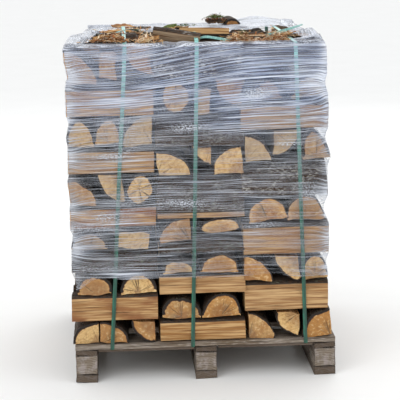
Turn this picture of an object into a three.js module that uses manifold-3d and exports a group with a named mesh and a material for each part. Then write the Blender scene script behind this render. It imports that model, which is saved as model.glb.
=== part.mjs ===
// A palletised load of split birch firewood: 33 cm logs cross-laid in three by three columns on a
// one-way block pallet, held by three polyester straps and a sleeve of stretch film.
// Millimetres, +Z up, front towards -Y, origin on the floor under the middle of the load.
import * as THREE from 'three';
import { mergeVertices } from 'three/addons/utils/BufferGeometryUtils.js';
import Module from 'manifold-3d';

const wasm = await Module();
wasm.setup();

// ---- driving dimensions ----
const CLEAR = 0.3; // gap kept between pieces that touch

const PALLET_SIZE = 1000; // square deck
const PALLET_CENTRE_X = 10; // the load sits a little to the left on its pallet
const DECK_TOP = 150;
const DECK_BOARD_T = 21;
const DECK_BOARD_W = 138;
const DECK_BOARDS = 5;
const STRINGER_T = 22;
const RUNNER_T = 31;
const FOOT_W = 84; // width of stringers, blocks and runners alike
const BLOCK_D = 138;

const COLUMNS = 3; // along X and along Y
const COLUMN_PITCH_X = 335;
const COLUMN_PITCH_Y = 330;
const LOG_LENGTH_X = 330; // of a log that lies along X
const LOG_LENGTH_Y = 327; // of a log that lies along Y
const COURSE_ACROSS = 320; // width of one course across its logs
const LOBE_RISE = 0.42; // share of a course's height taken by the round backs of its logs
const LOBE_BITE = 2; // how far a round back presses into the course above
const LOG_ARC_STEPS = 4;
const LOBE_ARC_STEPS = 2;

// Course heights from the deck up, for the left, middle and right column of the front row.
const COURSES_LEFT = [87, 100, 85, 89, 81, 89, 115, 99, 117, 112, 155];
const COURSES_MIDDLE = [89, 96, 81, 83, 62, 67, 161, 111, 112, 131, 144];
const COURSES_RIGHT = [107, 112, 97, 134, 95, 129, 118, 107, 92, 131];
const COURSES = [COURSES_LEFT, COURSES_MIDDLE, COURSES_RIGHT];
const LOAD_TOP = DECK_TOP + Math.max(...COURSES.map((list) => list.reduce((a, b) => a + b)));

const STRAP_W = 15.5;
const STRAP_T = 0.9;
const STRAP_BOTTOM_Z = DECK_TOP - DECK_BOARD_T;
const LOAD_HALF_Y = COLUMN_PITCH_Y + LOG_LENGTH_Y / 2;
// Each strap leans a little: its place along X at the deck and at the top of the load.
const STRAPS = {
  strap_left: [-348, -272],
  strap_middle: [-41, -7],
  strap_right: [394, 359],
};

const FILM_T = 0.8; // several turns of film pressed together
const FILM_BOTTOM = 400;
const FILM_HALF_X = 507;
const FILM_HALF_Y = 497.8;
const FILM_WAVE = 2; // the film follows the log tips in and out
const FILM_WAVE_PITCH = 215;
const FILM_CORNER_R = 12;
const FILM_LIP = 62; // how far the top edge folds in over the load
const FILM_RISE = 2.5; // the folded edge bridges the straps' corners
const FILM_STEPS = 7;
const CORNER_STEPS = 3;

// ---- materials ----
const finish = (color, roughness) =>
  new THREE.MeshStandardMaterial({ color, roughness, metalness: 0 });
const palletTimber = finish(0x8f8374, 0.85);
const splitBirch = finish(0xcfa678, 0.8);
const birchBark = finish(0x5d5348, 0.9);
const strapGreen = finish(0x1e6a52, 0.35);
const wrapFilm = finish(0xc3ccd6, 0.3);

// ---- scene graph ----
const load = new THREE.Group();

const addMesh = (name, geometry, material, x, y, z, turn = 0) => {
  const mesh = new THREE.Mesh(geometry, material);
  mesh.name = name;
  mesh.position.set(x, y, z);
  mesh.rotation.z = turn;
  load.add(mesh);
  return mesh;
};

// ---- pallet ----
const footXs = [-1, 0, 1].map((side) => PALLET_CENTRE_X + (side * (PALLET_SIZE - FOOT_W)) / 2);
const blockYs = [-1, 0, 1].map((row) => (row * (PALLET_SIZE - BLOCK_D)) / 2);
const footNames = ['left', 'middle', 'right'];
const rowNames = ['front', 'centre', 'back'];
const stringerZ = DECK_TOP - DECK_BOARD_T - CLEAR - STRINGER_T / 2;
const blockH = DECK_TOP - DECK_BOARD_T - STRINGER_T - RUNNER_T - 3 * CLEAR;

for (let i = 0; i < DECK_BOARDS; i += 1) {
  const y = ((PALLET_SIZE - DECK_BOARD_W) * (i / (DECK_BOARDS - 1) - 0.5));
  const board = new THREE.BoxGeometry(PALLET_SIZE, DECK_BOARD_W, DECK_BOARD_T);
  addMesh(`deck_board_${i + 1}`, board, palletTimber, PALLET_CENTRE_X, y, DECK_TOP - DECK_BOARD_T / 2);
}
footXs.forEach((x, side) => {
  const stringer = new THREE.BoxGeometry(FOOT_W, PALLET_SIZE, STRINGER_T);
  addMesh(`stringer_${footNames[side]}`, stringer, palletTimber, x, 0, stringerZ);
  blockYs.forEach((y, row) => {
    const block = new THREE.BoxGeometry(FOOT_W, BLOCK_D, blockH);
    const name = `block_${footNames[side]}_${rowNames[row]}`;
    addMesh(name, block, palletTimber, x, y, RUNNER_T + CLEAR + blockH / 2);
  });
  const runner = new THREE.BoxGeometry(FOOT_W, PALLET_SIZE, RUNNER_T);
  addMesh(`runner_${footNames[side]}`, runner, palletTimber, x, 0, RUNNER_T / 2);
});

// ---- log sections, each inside a box w wide and h high that stands on its bottom left corner ----
const ellipseShape = (corners, cx, cy, rx, ry, from, to) => {
  const shape = new THREE.Shape();
  corners.forEach(([x, y], index) => (index ? shape.lineTo(x, y) : shape.moveTo(x, y)));
  shape.absellipse(cx, cy, rx, ry, from, to, false);
  return shape;
};

const SECTIONS = {
  // a quarter with its heart at the bottom right and its bark to the upper left
  quarterLeft: (w, h) => ellipseShape([[0, 0], [w, 0]], w, 0, w, h, Math.PI / 2, Math.PI),
  quarterRight: (w, h) => ellipseShape([[0, 0], [w, 0]], 0, 0, w, h, 0, Math.PI / 2),
  // a half log lying on its split face
  half: (w, h) => ellipseShape([[0, 0], [w, 0]], w / 2, 0.12 * h, w / 2, 0.88 * h, 0, Math.PI),
  // a wedge hanging between its neighbours, split face up and bark to the lower left
  hanging: (w, h) =>
    ellipseShape([[w, 0.06 * h], [w, h], [0, h]], w, h, w, 0.94 * h, Math.PI, 1.5 * Math.PI),
  // a thick slab, split below and at both sides, with a low crown of bark
  slab: (w, h) => ellipseShape([[0, 0], [w, 0]], w / 2, 0.6 * h, w / 2, 0.4 * h, 0, Math.PI),
};

// The section drawn upright and carried along the log, so that the log lies along Y.
const extrudeAlongY = (shape, length, curveSegments) => {
  const options = { depth: length, bevelEnabled: false, curveSegments };
  const geometry = new THREE.ExtrudeGeometry(shape, options);
  geometry.rotateX(Math.PI / 2);
  geometry.translate(0, length / 2, 0);
  return geometry;
};

// ---- bottom course: every log is a piece of its own ----
// Sections from left to right with each one's share of the course's width.
const ROW_SPLIT_A = [['quarterLeft', 0.31], ['quarterRight', 0.38], ['hanging', 0.31]];
const ROW_SPLIT_B = [['slab', 0.34], ['half', 0.35], ['slab', 0.31]];
const ROW_SPLIT_C = [['quarterRight', 0.33], ['hanging', 0.3], ['quarterLeft', 0.37]];
const ROW_SPLIT_D = [['half', 0.52], ['slab', 0.48]];
const BOTTOM_ROWS = [
  [ROW_SPLIT_A, ROW_SPLIT_B, ROW_SPLIT_C],
  [ROW_SPLIT_B, ROW_SPLIT_D, ROW_SPLIT_A],
  [ROW_SPLIT_D, ROW_SPLIT_C, ROW_SPLIT_D],
];

const liesAlongY = (i, j, course) => (i + j + course) % 2 === 0;
const coursesOf = (i, j) => {
  const list = COURSES[(i + j) % COLUMNS];
  return j % 2 === 0 ? list : [list[0], ...list.slice(1).reverse()];
};
const columnX = (i) => (i - 1) * COLUMN_PITCH_X;
const columnY = (j) => (j - 1) * COLUMN_PITCH_Y;
const cellName = (i, j) => `${rowNames[j]}_${footNames[i]}`;

const addBottomCourse = (i, j) => {
  const alongY = liesAlongY(i, j, 0);
  const height = coursesOf(i, j)[0] - 2 * CLEAR;
  const length = alongY ? LOG_LENGTH_Y : LOG_LENGTH_X;
  let start = -COURSE_ACROSS / 2;
  BOTTOM_ROWS[j][i].forEach(([section, share], index) => {
    const width = COURSE_ACROSS * share;
    const shape = SECTIONS[section](width - 2, height);
    const geometry = extrudeAlongY(shape, length, LOG_ARC_STEPS);
    const x = columnX(i) + (alongY ? start : 0);
    const y = columnY(j) + (alongY ? 0 : start);
    const name = `log_${cellName(i, j)}_${index + 1}`;
    addMesh(name, geometry, splitBirch, x, y, DECK_TOP + CLEAR, alongY ? 0 : Math.PI / 2);
    start += width;
  });
};

// ---- courses above: one stack of cross-laid logs in each column ----
// Outline of a course seen along its logs: flat below, one round back above each log.
const courseShape = (height, logs) => {
  const half = COURSE_ACROSS / 2;
  const rise = LOBE_RISE * height;
  const lobe = COURSE_ACROSS / logs;
  const shape = new THREE.Shape();
  shape.moveTo(-half, 0);
  shape.lineTo(half, 0);
  for (let n = 0; n < logs; n += 1) {
    const centre = half - lobe * (n + 0.5);
    shape.absellipse(centre, height - rise, lobe / 2, rise + LOBE_BITE, 0, Math.PI, false);
  }
  return shape;
};

const toSolid = (geometry) => {
  const bare = geometry.clone();
  bare.deleteAttribute('normal');
  bare.deleteAttribute('uv');
  const welded = mergeVertices(bare, 1e-3);
  const mesh = new wasm.Mesh({
    numProp: 3,
    vertProperties: new Float32Array(welded.attributes.position.array),
    triVerts: new Uint32Array(welded.index.array),
  });
  return new wasm.Manifold(mesh);
};

const toGeometry = (solid) => {
  const mesh = solid.getMesh();
  const geometry = new THREE.BufferGeometry();
  geometry.setAttribute('position', new THREE.BufferAttribute(mesh.vertProperties, 3));
  geometry.setIndex(new THREE.BufferAttribute(mesh.triVerts, 1));
  return geometry;
};

const addStack = (i, j) => {
  const courses = coursesOf(i, j);
  let z = DECK_TOP + courses[0];
  let stack = null;
  courses.slice(1).forEach((height, index) => {
    const course = index + 1;
    const alongY = liesAlongY(i, j, course);
    const top = course === courses.length - 1 ? height - LOBE_BITE : height;
    const shape = courseShape(top, height > 125 ? 2 : 3);
    const length = alongY ? LOG_LENGTH_Y : LOG_LENGTH_X;
    const geometry = extrudeAlongY(shape, length, LOBE_ARC_STEPS);
    geometry.rotateZ(alongY ? 0 : Math.PI / 2);
    geometry.translate(0, 0, z);
    const solid = toSolid(geometry);
    stack = stack ? stack.add(solid) : solid;
    z += height;
  });
  addMesh(`stack_${cellName(i, j)}`, toGeometry(stack), splitBirch, columnX(i), columnY(j), 0);
};

for (let j = 0; j < COLUMNS; j += 1) {
  for (let i = 0; i < COLUMNS; i += 1) {
    addBottomCourse(i, j);
    addStack(i, j);
  }
}

// ---- loose pieces on top ----
const TOP_Z = LOAD_TOP + 2 * CLEAR + STRAP_T;
const LOOSE = [
  // name, section, width, height, length, x, y, turn, material
  ['loose_split_log', 'half', 96, 38, 300, 30, -205, 1.48, splitBirch],
  ['loose_bark_slab', 'half', 84, 33, 205, -105, -330, 1.72, birchBark],
  ['loose_back_log', 'half', 92, 46, 240, 118, 300, 0.14, birchBark],
];
LOOSE.forEach(([name, section, w, h, length, x, y, turn, material]) => {
  const geometry = extrudeAlongY(SECTIONS[section](w, h), length, LOG_ARC_STEPS);
  geometry.translate(-w / 2, 0, 0);
  addMesh(name, geometry, material, x, y, TOP_Z, turn);
});

// ---- straps ----
// A closed loop in the YZ plane, hugging the deck's edges, the log ends and the top of the load.
const strapLoop = (gap) => {
  const edge = PALLET_SIZE / 2 + gap;
  const face = LOAD_HALF_Y + gap;
  return [
    [-edge, STRAP_BOTTOM_Z - gap],
    [edge, STRAP_BOTTOM_Z - gap],
    [edge, DECK_TOP + gap],
    [face, DECK_TOP + 30],
    [face, LOAD_TOP + gap],
    [-face, LOAD_TOP + gap],
    [-face, DECK_TOP + 30],
    [-edge, DECK_TOP + gap],
  ].map(([y, z]) => new THREE.Vector2(y, z));
};

Object.entries(STRAPS).forEach(([name, [bottomX, topX]]) => {
  const shape = new THREE.Shape(strapLoop(CLEAR + STRAP_T));
  shape.holes.push(new THREE.Path(strapLoop(CLEAR).reverse()));
  const geometry = new THREE.ExtrudeGeometry(shape, { depth: STRAP_W, bevelEnabled: false });
  geometry.rotateX(Math.PI / 2);
  geometry.rotateZ(Math.PI / 2);
  geometry.translate(-STRAP_W / 2, 0, 0);
  // Lean the loop: slide each point along X by its height.
  const slope = (topX - bottomX) / (LOAD_TOP - STRAP_BOTTOM_Z);
  const lean = new THREE.Matrix4().makeShear(0, 0, 0, 0, slope, 0);
  geometry.applyMatrix4(lean);
  addMesh(name, geometry, strapGreen, bottomX - slope * STRAP_BOTTOM_Z, 0, 0);
});

// ---- stretch film ----
// Half width of the sleeve's outer face at height z.
const filmHalf = (z) => FILM_HALF_X + FILM_WAVE * Math.sin((2 * Math.PI * z) / FILM_WAVE_PITCH);

const filmProfile = (inset) => {
  const shoulder = LOAD_TOP - FILM_CORNER_R;
  const top = LOAD_TOP + STRAP_T + FILM_T + FILM_RISE - inset;
  const side = [];
  for (let n = 0; n <= FILM_STEPS; n += 1) {
    const z = FILM_BOTTOM + ((shoulder - FILM_BOTTOM) * n) / FILM_STEPS;
    side.push([filmHalf(z) - inset, z]);
  }
  const half = filmHalf(shoulder);
  return [...side, [half - inset, top - 2], [half - 3 - inset, top], [half - FILM_LIP, top]];
};

// A point of a rounded rectangle: step 0 to CORNER_STEPS round each corner in turn.
const ringPoint = (step, halfX, halfY, radius) => {
  const corner = Math.floor(step / (CORNER_STEPS + 1)) % 4;
  const along = step % (CORNER_STEPS + 1);
  const angle = (corner + along / CORNER_STEPS) * (Math.PI / 2);
  const signX = corner === 0 || corner === 3 ? 1 : -1;
  const signY = corner < 2 ? 1 : -1;
  return [
    signX * (halfX - radius) + radius * Math.cos(angle),
    signY * (halfY - radius) + radius * Math.sin(angle),
  ];
};

const profile = [...filmProfile(0), ...filmProfile(FILM_T).reverse()];
profile.push(profile[0]);
const ringSteps = 4 * (CORNER_STEPS + 1);
const sleeve = new THREE.LatheGeometry(profile.map(([r, z]) => new THREE.Vector2(r, z)), ringSteps);
const sleevePoints = sleeve.attributes.position;
for (let step = 0; step <= ringSteps; step += 1) {
  profile.forEach(([half, z], row) => {
    const halfY = half + FILM_HALF_Y - FILM_HALF_X;
    const [x, y] = ringPoint(step % ringSteps, half, halfY, FILM_CORNER_R);
    sleevePoints.setXYZ(step * profile.length + row, x, y, z);
  });
}
addMesh('stretch_film', sleeve, wrapFilm, 0, 0, 0);

export default load;
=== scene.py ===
"""A palletised load of split birch firewood, cross-laid, strapped and wrapped in stretch film.

Metres, +Z up, the front towards -Y.  Every piece is worked out in place as numpy arrays and
finished with procedural materials.
"""

import logging
import math
import re
from dataclasses import dataclass, field, replace
from enum import Enum
from typing import ClassVar

import bpy
import numpy as np
from mathutils import Matrix, Vector


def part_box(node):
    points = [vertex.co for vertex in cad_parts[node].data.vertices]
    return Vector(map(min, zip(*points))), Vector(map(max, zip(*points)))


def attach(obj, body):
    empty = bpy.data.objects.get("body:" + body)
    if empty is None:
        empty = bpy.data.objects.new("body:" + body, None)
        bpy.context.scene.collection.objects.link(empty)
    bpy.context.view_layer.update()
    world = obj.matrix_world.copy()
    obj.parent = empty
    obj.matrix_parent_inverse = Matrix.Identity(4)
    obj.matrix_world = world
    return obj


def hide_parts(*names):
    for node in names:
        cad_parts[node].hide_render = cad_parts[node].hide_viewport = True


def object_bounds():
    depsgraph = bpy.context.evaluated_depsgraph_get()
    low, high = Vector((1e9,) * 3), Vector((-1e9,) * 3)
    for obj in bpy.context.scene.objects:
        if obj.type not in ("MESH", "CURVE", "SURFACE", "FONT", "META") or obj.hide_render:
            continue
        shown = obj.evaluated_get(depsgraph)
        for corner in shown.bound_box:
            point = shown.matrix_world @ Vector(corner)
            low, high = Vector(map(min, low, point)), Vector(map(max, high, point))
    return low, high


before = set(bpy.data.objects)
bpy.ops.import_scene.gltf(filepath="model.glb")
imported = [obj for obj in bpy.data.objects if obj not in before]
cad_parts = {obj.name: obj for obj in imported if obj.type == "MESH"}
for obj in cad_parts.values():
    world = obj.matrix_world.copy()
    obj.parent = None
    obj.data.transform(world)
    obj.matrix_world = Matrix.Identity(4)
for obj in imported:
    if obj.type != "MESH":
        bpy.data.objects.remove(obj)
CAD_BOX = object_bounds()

logging.basicConfig(level=logging.INFO, format="%(message)s")
log = logging.getLogger("firewood")

Array = np.ndarray
Triple = tuple[float, float, float]
MM = 0.001
BODY = "root"


# ---------------------------------------------------------------- noise


def hash01(cells: Array, seed: int) -> Array:
    """Gives each lattice cell one repeatable number, by integer products folded with xor and shift.

    Args:
        cells: whole-number cell indices, shape (..., 3).
        seed: a different seed gives a different field.

    Returns:
        Numbers from 0 to 1, shape (...).
    """
    mixed = cells[..., 0] * 73856093 ^ cells[..., 1] * 19349663 ^ cells[..., 2] * 83492791
    mixed = (mixed ^ (seed * 40503 + 977)) & 0xFFFFFFFF
    for _ in range(2):
        mixed = ((mixed ^ (mixed >> 16)) * 0x45D9F3B) & 0xFFFFFFFF
    return ((mixed ^ (mixed >> 16)) & 0xFFFFFF) / 0xFFFFFF


def smooth_noise(points: Array, size: Triple, seed: int) -> Array:
    """Noise that joins random lattice values with the cubic easing 3t^2 - 2t^3 along each axis.

    Args:
        points: places, shape (..., 3), in metres.
        size: distance between lattice values along each axis, in metres.
        seed: field number.

    Returns:
        Values from -1 to 1, shape (...).
    """
    scaled = points / np.asarray(size)
    cell = np.floor(scaled).astype(np.int64)
    ease = scaled - cell
    ease = ease * ease * (3.0 - 2.0 * ease)
    total = np.zeros(points.shape[:-1])
    for corner in range(8):
        step = np.array([corner & 1, (corner >> 1) & 1, (corner >> 2) & 1])
        weight = np.prod(np.where(step == 1, ease, 1.0 - ease), axis=-1)
        total += weight * hash01(cell + step, seed)
    return total * 2.0 - 1.0


def rough_noise(points: Array, size: Triple, seed: int, octaves: int = 3) -> Array:
    """Sum of smooth noises, each half as large and half as wide as the one before.

    Args:
        points: places, shape (..., 3).
        size: lattice size of the widest octave.
        seed: field number of the first octave.
        octaves: how many noises are added.

    Returns:
        Values from about -1 to 1, shape (...).
    """
    total = np.zeros(points.shape[:-1])
    for octave in range(octaves):
        share = 0.5**octave
        total += share * smooth_noise(points, tuple(s * share for s in size), seed + octave * 17)
    return total / (2.0 - 0.5 ** (octaves - 1))


def plane_noise(first: Array, second: Array, size: tuple[float, float], seed: int) -> Array:
    """Smooth noise over two parameters, as a slice of the three-dimensional one."""
    points = np.stack(np.broadcast_arrays(first, second, np.zeros(1)), axis=-1)
    return smooth_noise(points, (*size, 1.0), seed)


# ---------------------------------------------------------------- meshes


@dataclass
class Shell:
    """Points and faces of one closed or open surface, with what its materials need to know.

    ``grain`` places each point in the wood's own frame: across, up and along the fibres, from the
    heart.  ``tone`` holds four numbers from 0 to 1 whose meaning the finish sets.
    """

    points: Array
    quads: Array
    slots: Array
    grain: Array
    tone: Array


@dataclass
class Assembly:
    """Collects shells and turns them into one mesh object."""

    name: str
    finishes: list[bpy.types.Material]
    shells: list[Shell] = field(default_factory=list)
    sharp_degrees: float = 38.0

    def add(self, shell: Shell) -> None:
        """Adds one surface."""
        self.shells.append(shell)

    def build(self) -> bpy.types.Object:
        """Joins the shells into one mesh and writes its grain and tone.

        Returns:
            The new object, at the origin, riding on the load.
        """
        starts = np.cumsum([0] + [len(s.points) for s in self.shells])
        points = np.concatenate([s.points for s in self.shells])
        quads = np.concatenate([s.quads + start for s, start in zip(self.shells, starts)])
        slots = np.concatenate([s.slots for s in self.shells])
        mesh = bpy.data.meshes.new(self.name)
        # A face whose last corner repeats its first is a triangle.
        corners = np.where(quads[:, 3] == quads[:, 2], 3, 4)
        keep = np.ones(quads.shape, dtype=bool)
        keep[:, 3] = corners == 4
        mesh.vertices.add(len(points))
        mesh.vertices.foreach_set("co", points.astype(np.float32).ravel())
        mesh.loops.add(int(corners.sum()))
        mesh.loops.foreach_set("vertex_index", quads[keep].astype(np.int32))
        mesh.polygons.add(len(quads))
        first = np.concatenate([[0], np.cumsum(corners)[:-1]]).astype(np.int32)
        mesh.polygons.foreach_set("loop_start", first)
        mesh.polygons.foreach_set("material_index", slots.astype(np.int32))
        mesh.polygons.foreach_set("use_smooth", np.ones(len(quads), dtype=bool))
        grain = np.concatenate([s.grain for s in self.shells]).astype(np.float32)
        tone = np.concatenate([s.tone for s in self.shells]).astype(np.float32)
        mesh.attributes.new("grain", "FLOAT_VECTOR", "POINT").data.foreach_set("vector", grain.ravel())
        mesh.attributes.new("tone", "FLOAT_COLOR", "POINT").data.foreach_set("color", tone.ravel())
        mesh.update(calc_edges=True)
        mesh.validate()
        mesh.set_sharp_from_angle(angle=math.radians(self.sharp_degrees))
        for finish in self.finishes:
            mesh.materials.append(finish)
        piece = bpy.data.objects.new(self.name, mesh)
        bpy.context.scene.collection.objects.link(piece)
        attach(piece, BODY)
        return piece


def tube_quads(rows: int, around: int, first: int = 0) -> Array:
    """Faces between ``rows`` rings of ``around`` points each, ring after ring.

    Args:
        rows: number of rings.
        around: points in a ring; the last joins the first.
        first: index of the first point.

    Returns:
        Corner indices, shape ((rows - 1) * around, 4), facing away from the rings' axis when the
        rings run anticlockwise seen from where they lead.
    """
    row = np.arange(rows - 1)[:, None] * around + first
    here = np.arange(around)[None, :]
    after = (here + 1) % around
    quads = np.stack([row + here, row + after, row + around + after, row + around + here], axis=-1)
    return quads.reshape(-1, 4)


def fan_quads(around: int, first: int, centre: int) -> Array:
    """Triangles from a ring to its centre point, each with its last corner repeated.

    Args:
        around: points in the ring.
        first: index of its first point.
        centre: index of the centre point.

    Returns:
        Corner indices, shape (around, 4).
    """
    here = np.arange(around)
    after = (here + 1) % around
    middle = np.full(around, centre)
    return np.stack([here + first, after + first, middle, middle], axis=-1)


# ---------------------------------------------------------------- colours and nodes


def linear(hex_colour: str) -> tuple[float, float, float, float]:
    """Turns an sRGB hex colour into the linear one that shaders take.

    Args:
        hex_colour: such as "#d9b583".

    Returns:
        Linear red, green and blue, and a full alpha.
    """
    parts = [int(hex_colour[i : i + 2], 16) / 255.0 for i in (1, 3, 5)]
    return (*[p / 12.92 if p <= 0.04045 else ((p + 0.055) / 1.055) ** 2.4 for p in parts], 1.0)


# The setting that names each kind of node's main choice.
CHOICE = {
    "Math": "operation",
    "VectorMath": "operation",
    "MapRange": "interpolation_type",
    "Mix": "data_type",
    "TexVoronoi": "feature",
    "Attribute": "attribute_name",
}

# Eases a value to 0 below the first bound that follows it and to 1 above the second.
EASE = "MapRange:SMOOTHSTEP"


@dataclass
class Recipe:
    """A material being written: its tree and the coats and patterns that finishes repeat."""

    material: bpy.types.Material

    @classmethod
    def named(cls, name: str) -> "Recipe":
        """Starts an empty node material.

        Args:
            name: the material's name.

        Returns:
            The recipe, still without nodes.
        """
        material = bpy.data.materials.new(name)
        material.use_nodes = True
        material.node_tree.nodes.clear()
        return cls(material)

    @property
    def tree(self) -> bpy.types.NodeTree:
        """The material's nodes."""
        return self.material.node_tree

    def add(self, kind: str, *values: object, ramp: tuple = ()) -> bpy.types.Node:
        """Adds a node, makes its choice and sets or links its inputs.

        Args:
            kind: node type without its "ShaderNode" prefix, then a colon and its main choice, if any.
            values: what goes into its inputs in turn, or one mapping of input names or numbers to
                values.  A node stands for its first output in use.
            ramp: a colour ramp's stops as (position, hex colour).

        Returns:
            The new node.
        """
        kind, _, choice = kind.partition(":")
        node = self.tree.nodes.new("ShaderNode" + kind)
        if choice:
            setattr(node, CHOICE[kind], choice)
        for number, (position, colour) in enumerate(ramp):
            elements = node.color_ramp.elements
            element = elements[number] if number < len(elements) else elements.new(position)
            element.position = position
            element.color = linear(colour)
        named = values and isinstance(values[0], dict)
        for name, value in (values[0] if named else dict(enumerate(values))).items():
            if isinstance(value, bpy.types.Node):
                value = next(socket for socket in value.outputs if socket.enabled)
            if isinstance(value, bpy.types.NodeSocket):
                self.tree.links.new(value, node.inputs[name])
            else:
                node.inputs[name].default_value = value
        return node

    def noise(self, vector: object, size: Triple, detail: float) -> bpy.types.Node:
        """Noise whose lumps have the given size in metres along each axis.

        Args:
            vector: coordinates in metres.
            size: lump size along x, y and z.
            detail: Blender's noise detail.

        Returns:
            A value from 0 to 1, mostly near 0.5.
        """
        scaled = self.add("VectorMath:MULTIPLY", vector, tuple(1.0 / s for s in size))
        return self.add("TexNoise", {"Vector": scaled, "Scale": 1.0, "Detail": detail})

    def over(self, under: object, colour: str, share: object, amount: float = 1.0) -> bpy.types.Node:
        """Lays one colour over what is there.

        Args:
            under: the colour so far.
            colour: the sRGB hex colour that covers it.
            share: where it covers, from 0 to 1.
            amount: how much of it shows where the share is 1.

        Returns:
            The colour after this coat.
        """
        if amount != 1.0:
            share = self.add("Math:MULTIPLY", share, amount)
        return self.add("Mix:RGBA", {0: share, 6: under, 7: linear(colour)})

    @property
    def grain(self) -> bpy.types.NodeSocket:
        """The piece's own coordinates in metres: across, up and along the fibres."""
        return self.add("Attribute:grain").outputs["Vector"]

    @property
    def tone(self) -> list[bpy.types.NodeSocket]:
        """The four numbers of the piece's tone: red, green, blue and alpha."""
        mark = self.add("Attribute:tone").outputs
        return [*self.add("SeparateColor", mark["Color"]).outputs, mark["Alpha"]]

    def finish(
        self, inputs: dict, height: object = None, relief: float = 0.0, strength: float = 1.0
    ) -> bpy.types.Material:
        """Ends the recipe in a Principled surface.

        Args:
            inputs: the surface's sockets.
            height: a value whose slope tilts the surface, if any.
            relief: height in metres that a value of 1 stands for.
            strength: how much of the tilt is kept.

        Returns:
            The finished material.
        """
        if height is not None:
            bump = {"Height": height, "Distance": relief, "Strength": strength}
            inputs = {**inputs, "Normal": self.add("Bump", bump)}
        self.add("OutputMaterial", self.add("BsdfPrincipled", inputs))
        return self.material


# ---------------------------------------------------------------- finishes


@dataclass(frozen=True)
class RivenBirch:
    """Birch split along its fibres: pale tan, combed with fine streaks, orange where it is damp."""

    pale: str = "#cba470"
    tan: str = "#966834"
    damp: str = "#854e21"
    fibre: str = "#70492a"
    streak: str = "#5f3d20"
    weathered: str = "#8f8475"
    bark_edge: str = "#33251b"
    fibre_mm: float = 2.6
    streak_mm: float = 7.0

    def build(self) -> bpy.types.Material:
        """Fibres run along the grain attribute's third axis; tone sets hue, bark edge and weathering.

        Returns:
            The finished material.
        """
        r = Recipe.named("riven_birch")
        grain = r.grain
        tone = r.tone
        fine = self.fibre_mm * MM
        wide = self.streak_mm * MM
        fibres = r.noise(grain, (fine, fine, fine * 60), 3.0)
        streaks = r.noise(grain, (wide, wide, wide * 24), 3.0)
        blotches = r.noise(grain, (0.045, 0.045, 0.13), 3.0)
        cracks = r.noise(grain, (0.007, 0.007, 0.22), 2.0)
        colour = r.over(linear(self.pale), self.tan, r.add(EASE, streaks, 0.32, 0.66))
        damp = r.add(
            "Math:MULTIPLY", r.add(EASE, blotches, 0.44, 0.66), r.add(EASE, tone[0], 0.15, 0.95)
        )
        colour = r.over(colour, self.damp, damp)
        colour = r.over(colour, self.weathered, tone[2], 0.85)
        colour = r.over(colour, self.fibre, r.add(EASE, fibres, 0.48, 0.66), 0.6)
        colour = r.over(colour, self.streak, r.add(EASE, cracks, 0.62, 0.7), 0.75)
        edge = r.add(
            "Math:ADD", tone[1], r.add("Math:MULTIPLY", r.add("Math:SUBTRACT", streaks, 0.5), 0.7)
        )
        colour = r.over(colour, self.bark_edge, r.add(EASE, edge, 0.4, 0.54))
        height = r.add("Math:ADD", fibres, r.add("Math:MULTIPLY", streaks, 1.6))
        height = r.add("Math:SUBTRACT", height, r.add(EASE, cracks, 0.6, 0.7))
        return r.finish({"Base Color": colour, "Roughness": 0.78}, height, 2.2 * MM, 0.9)


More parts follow.
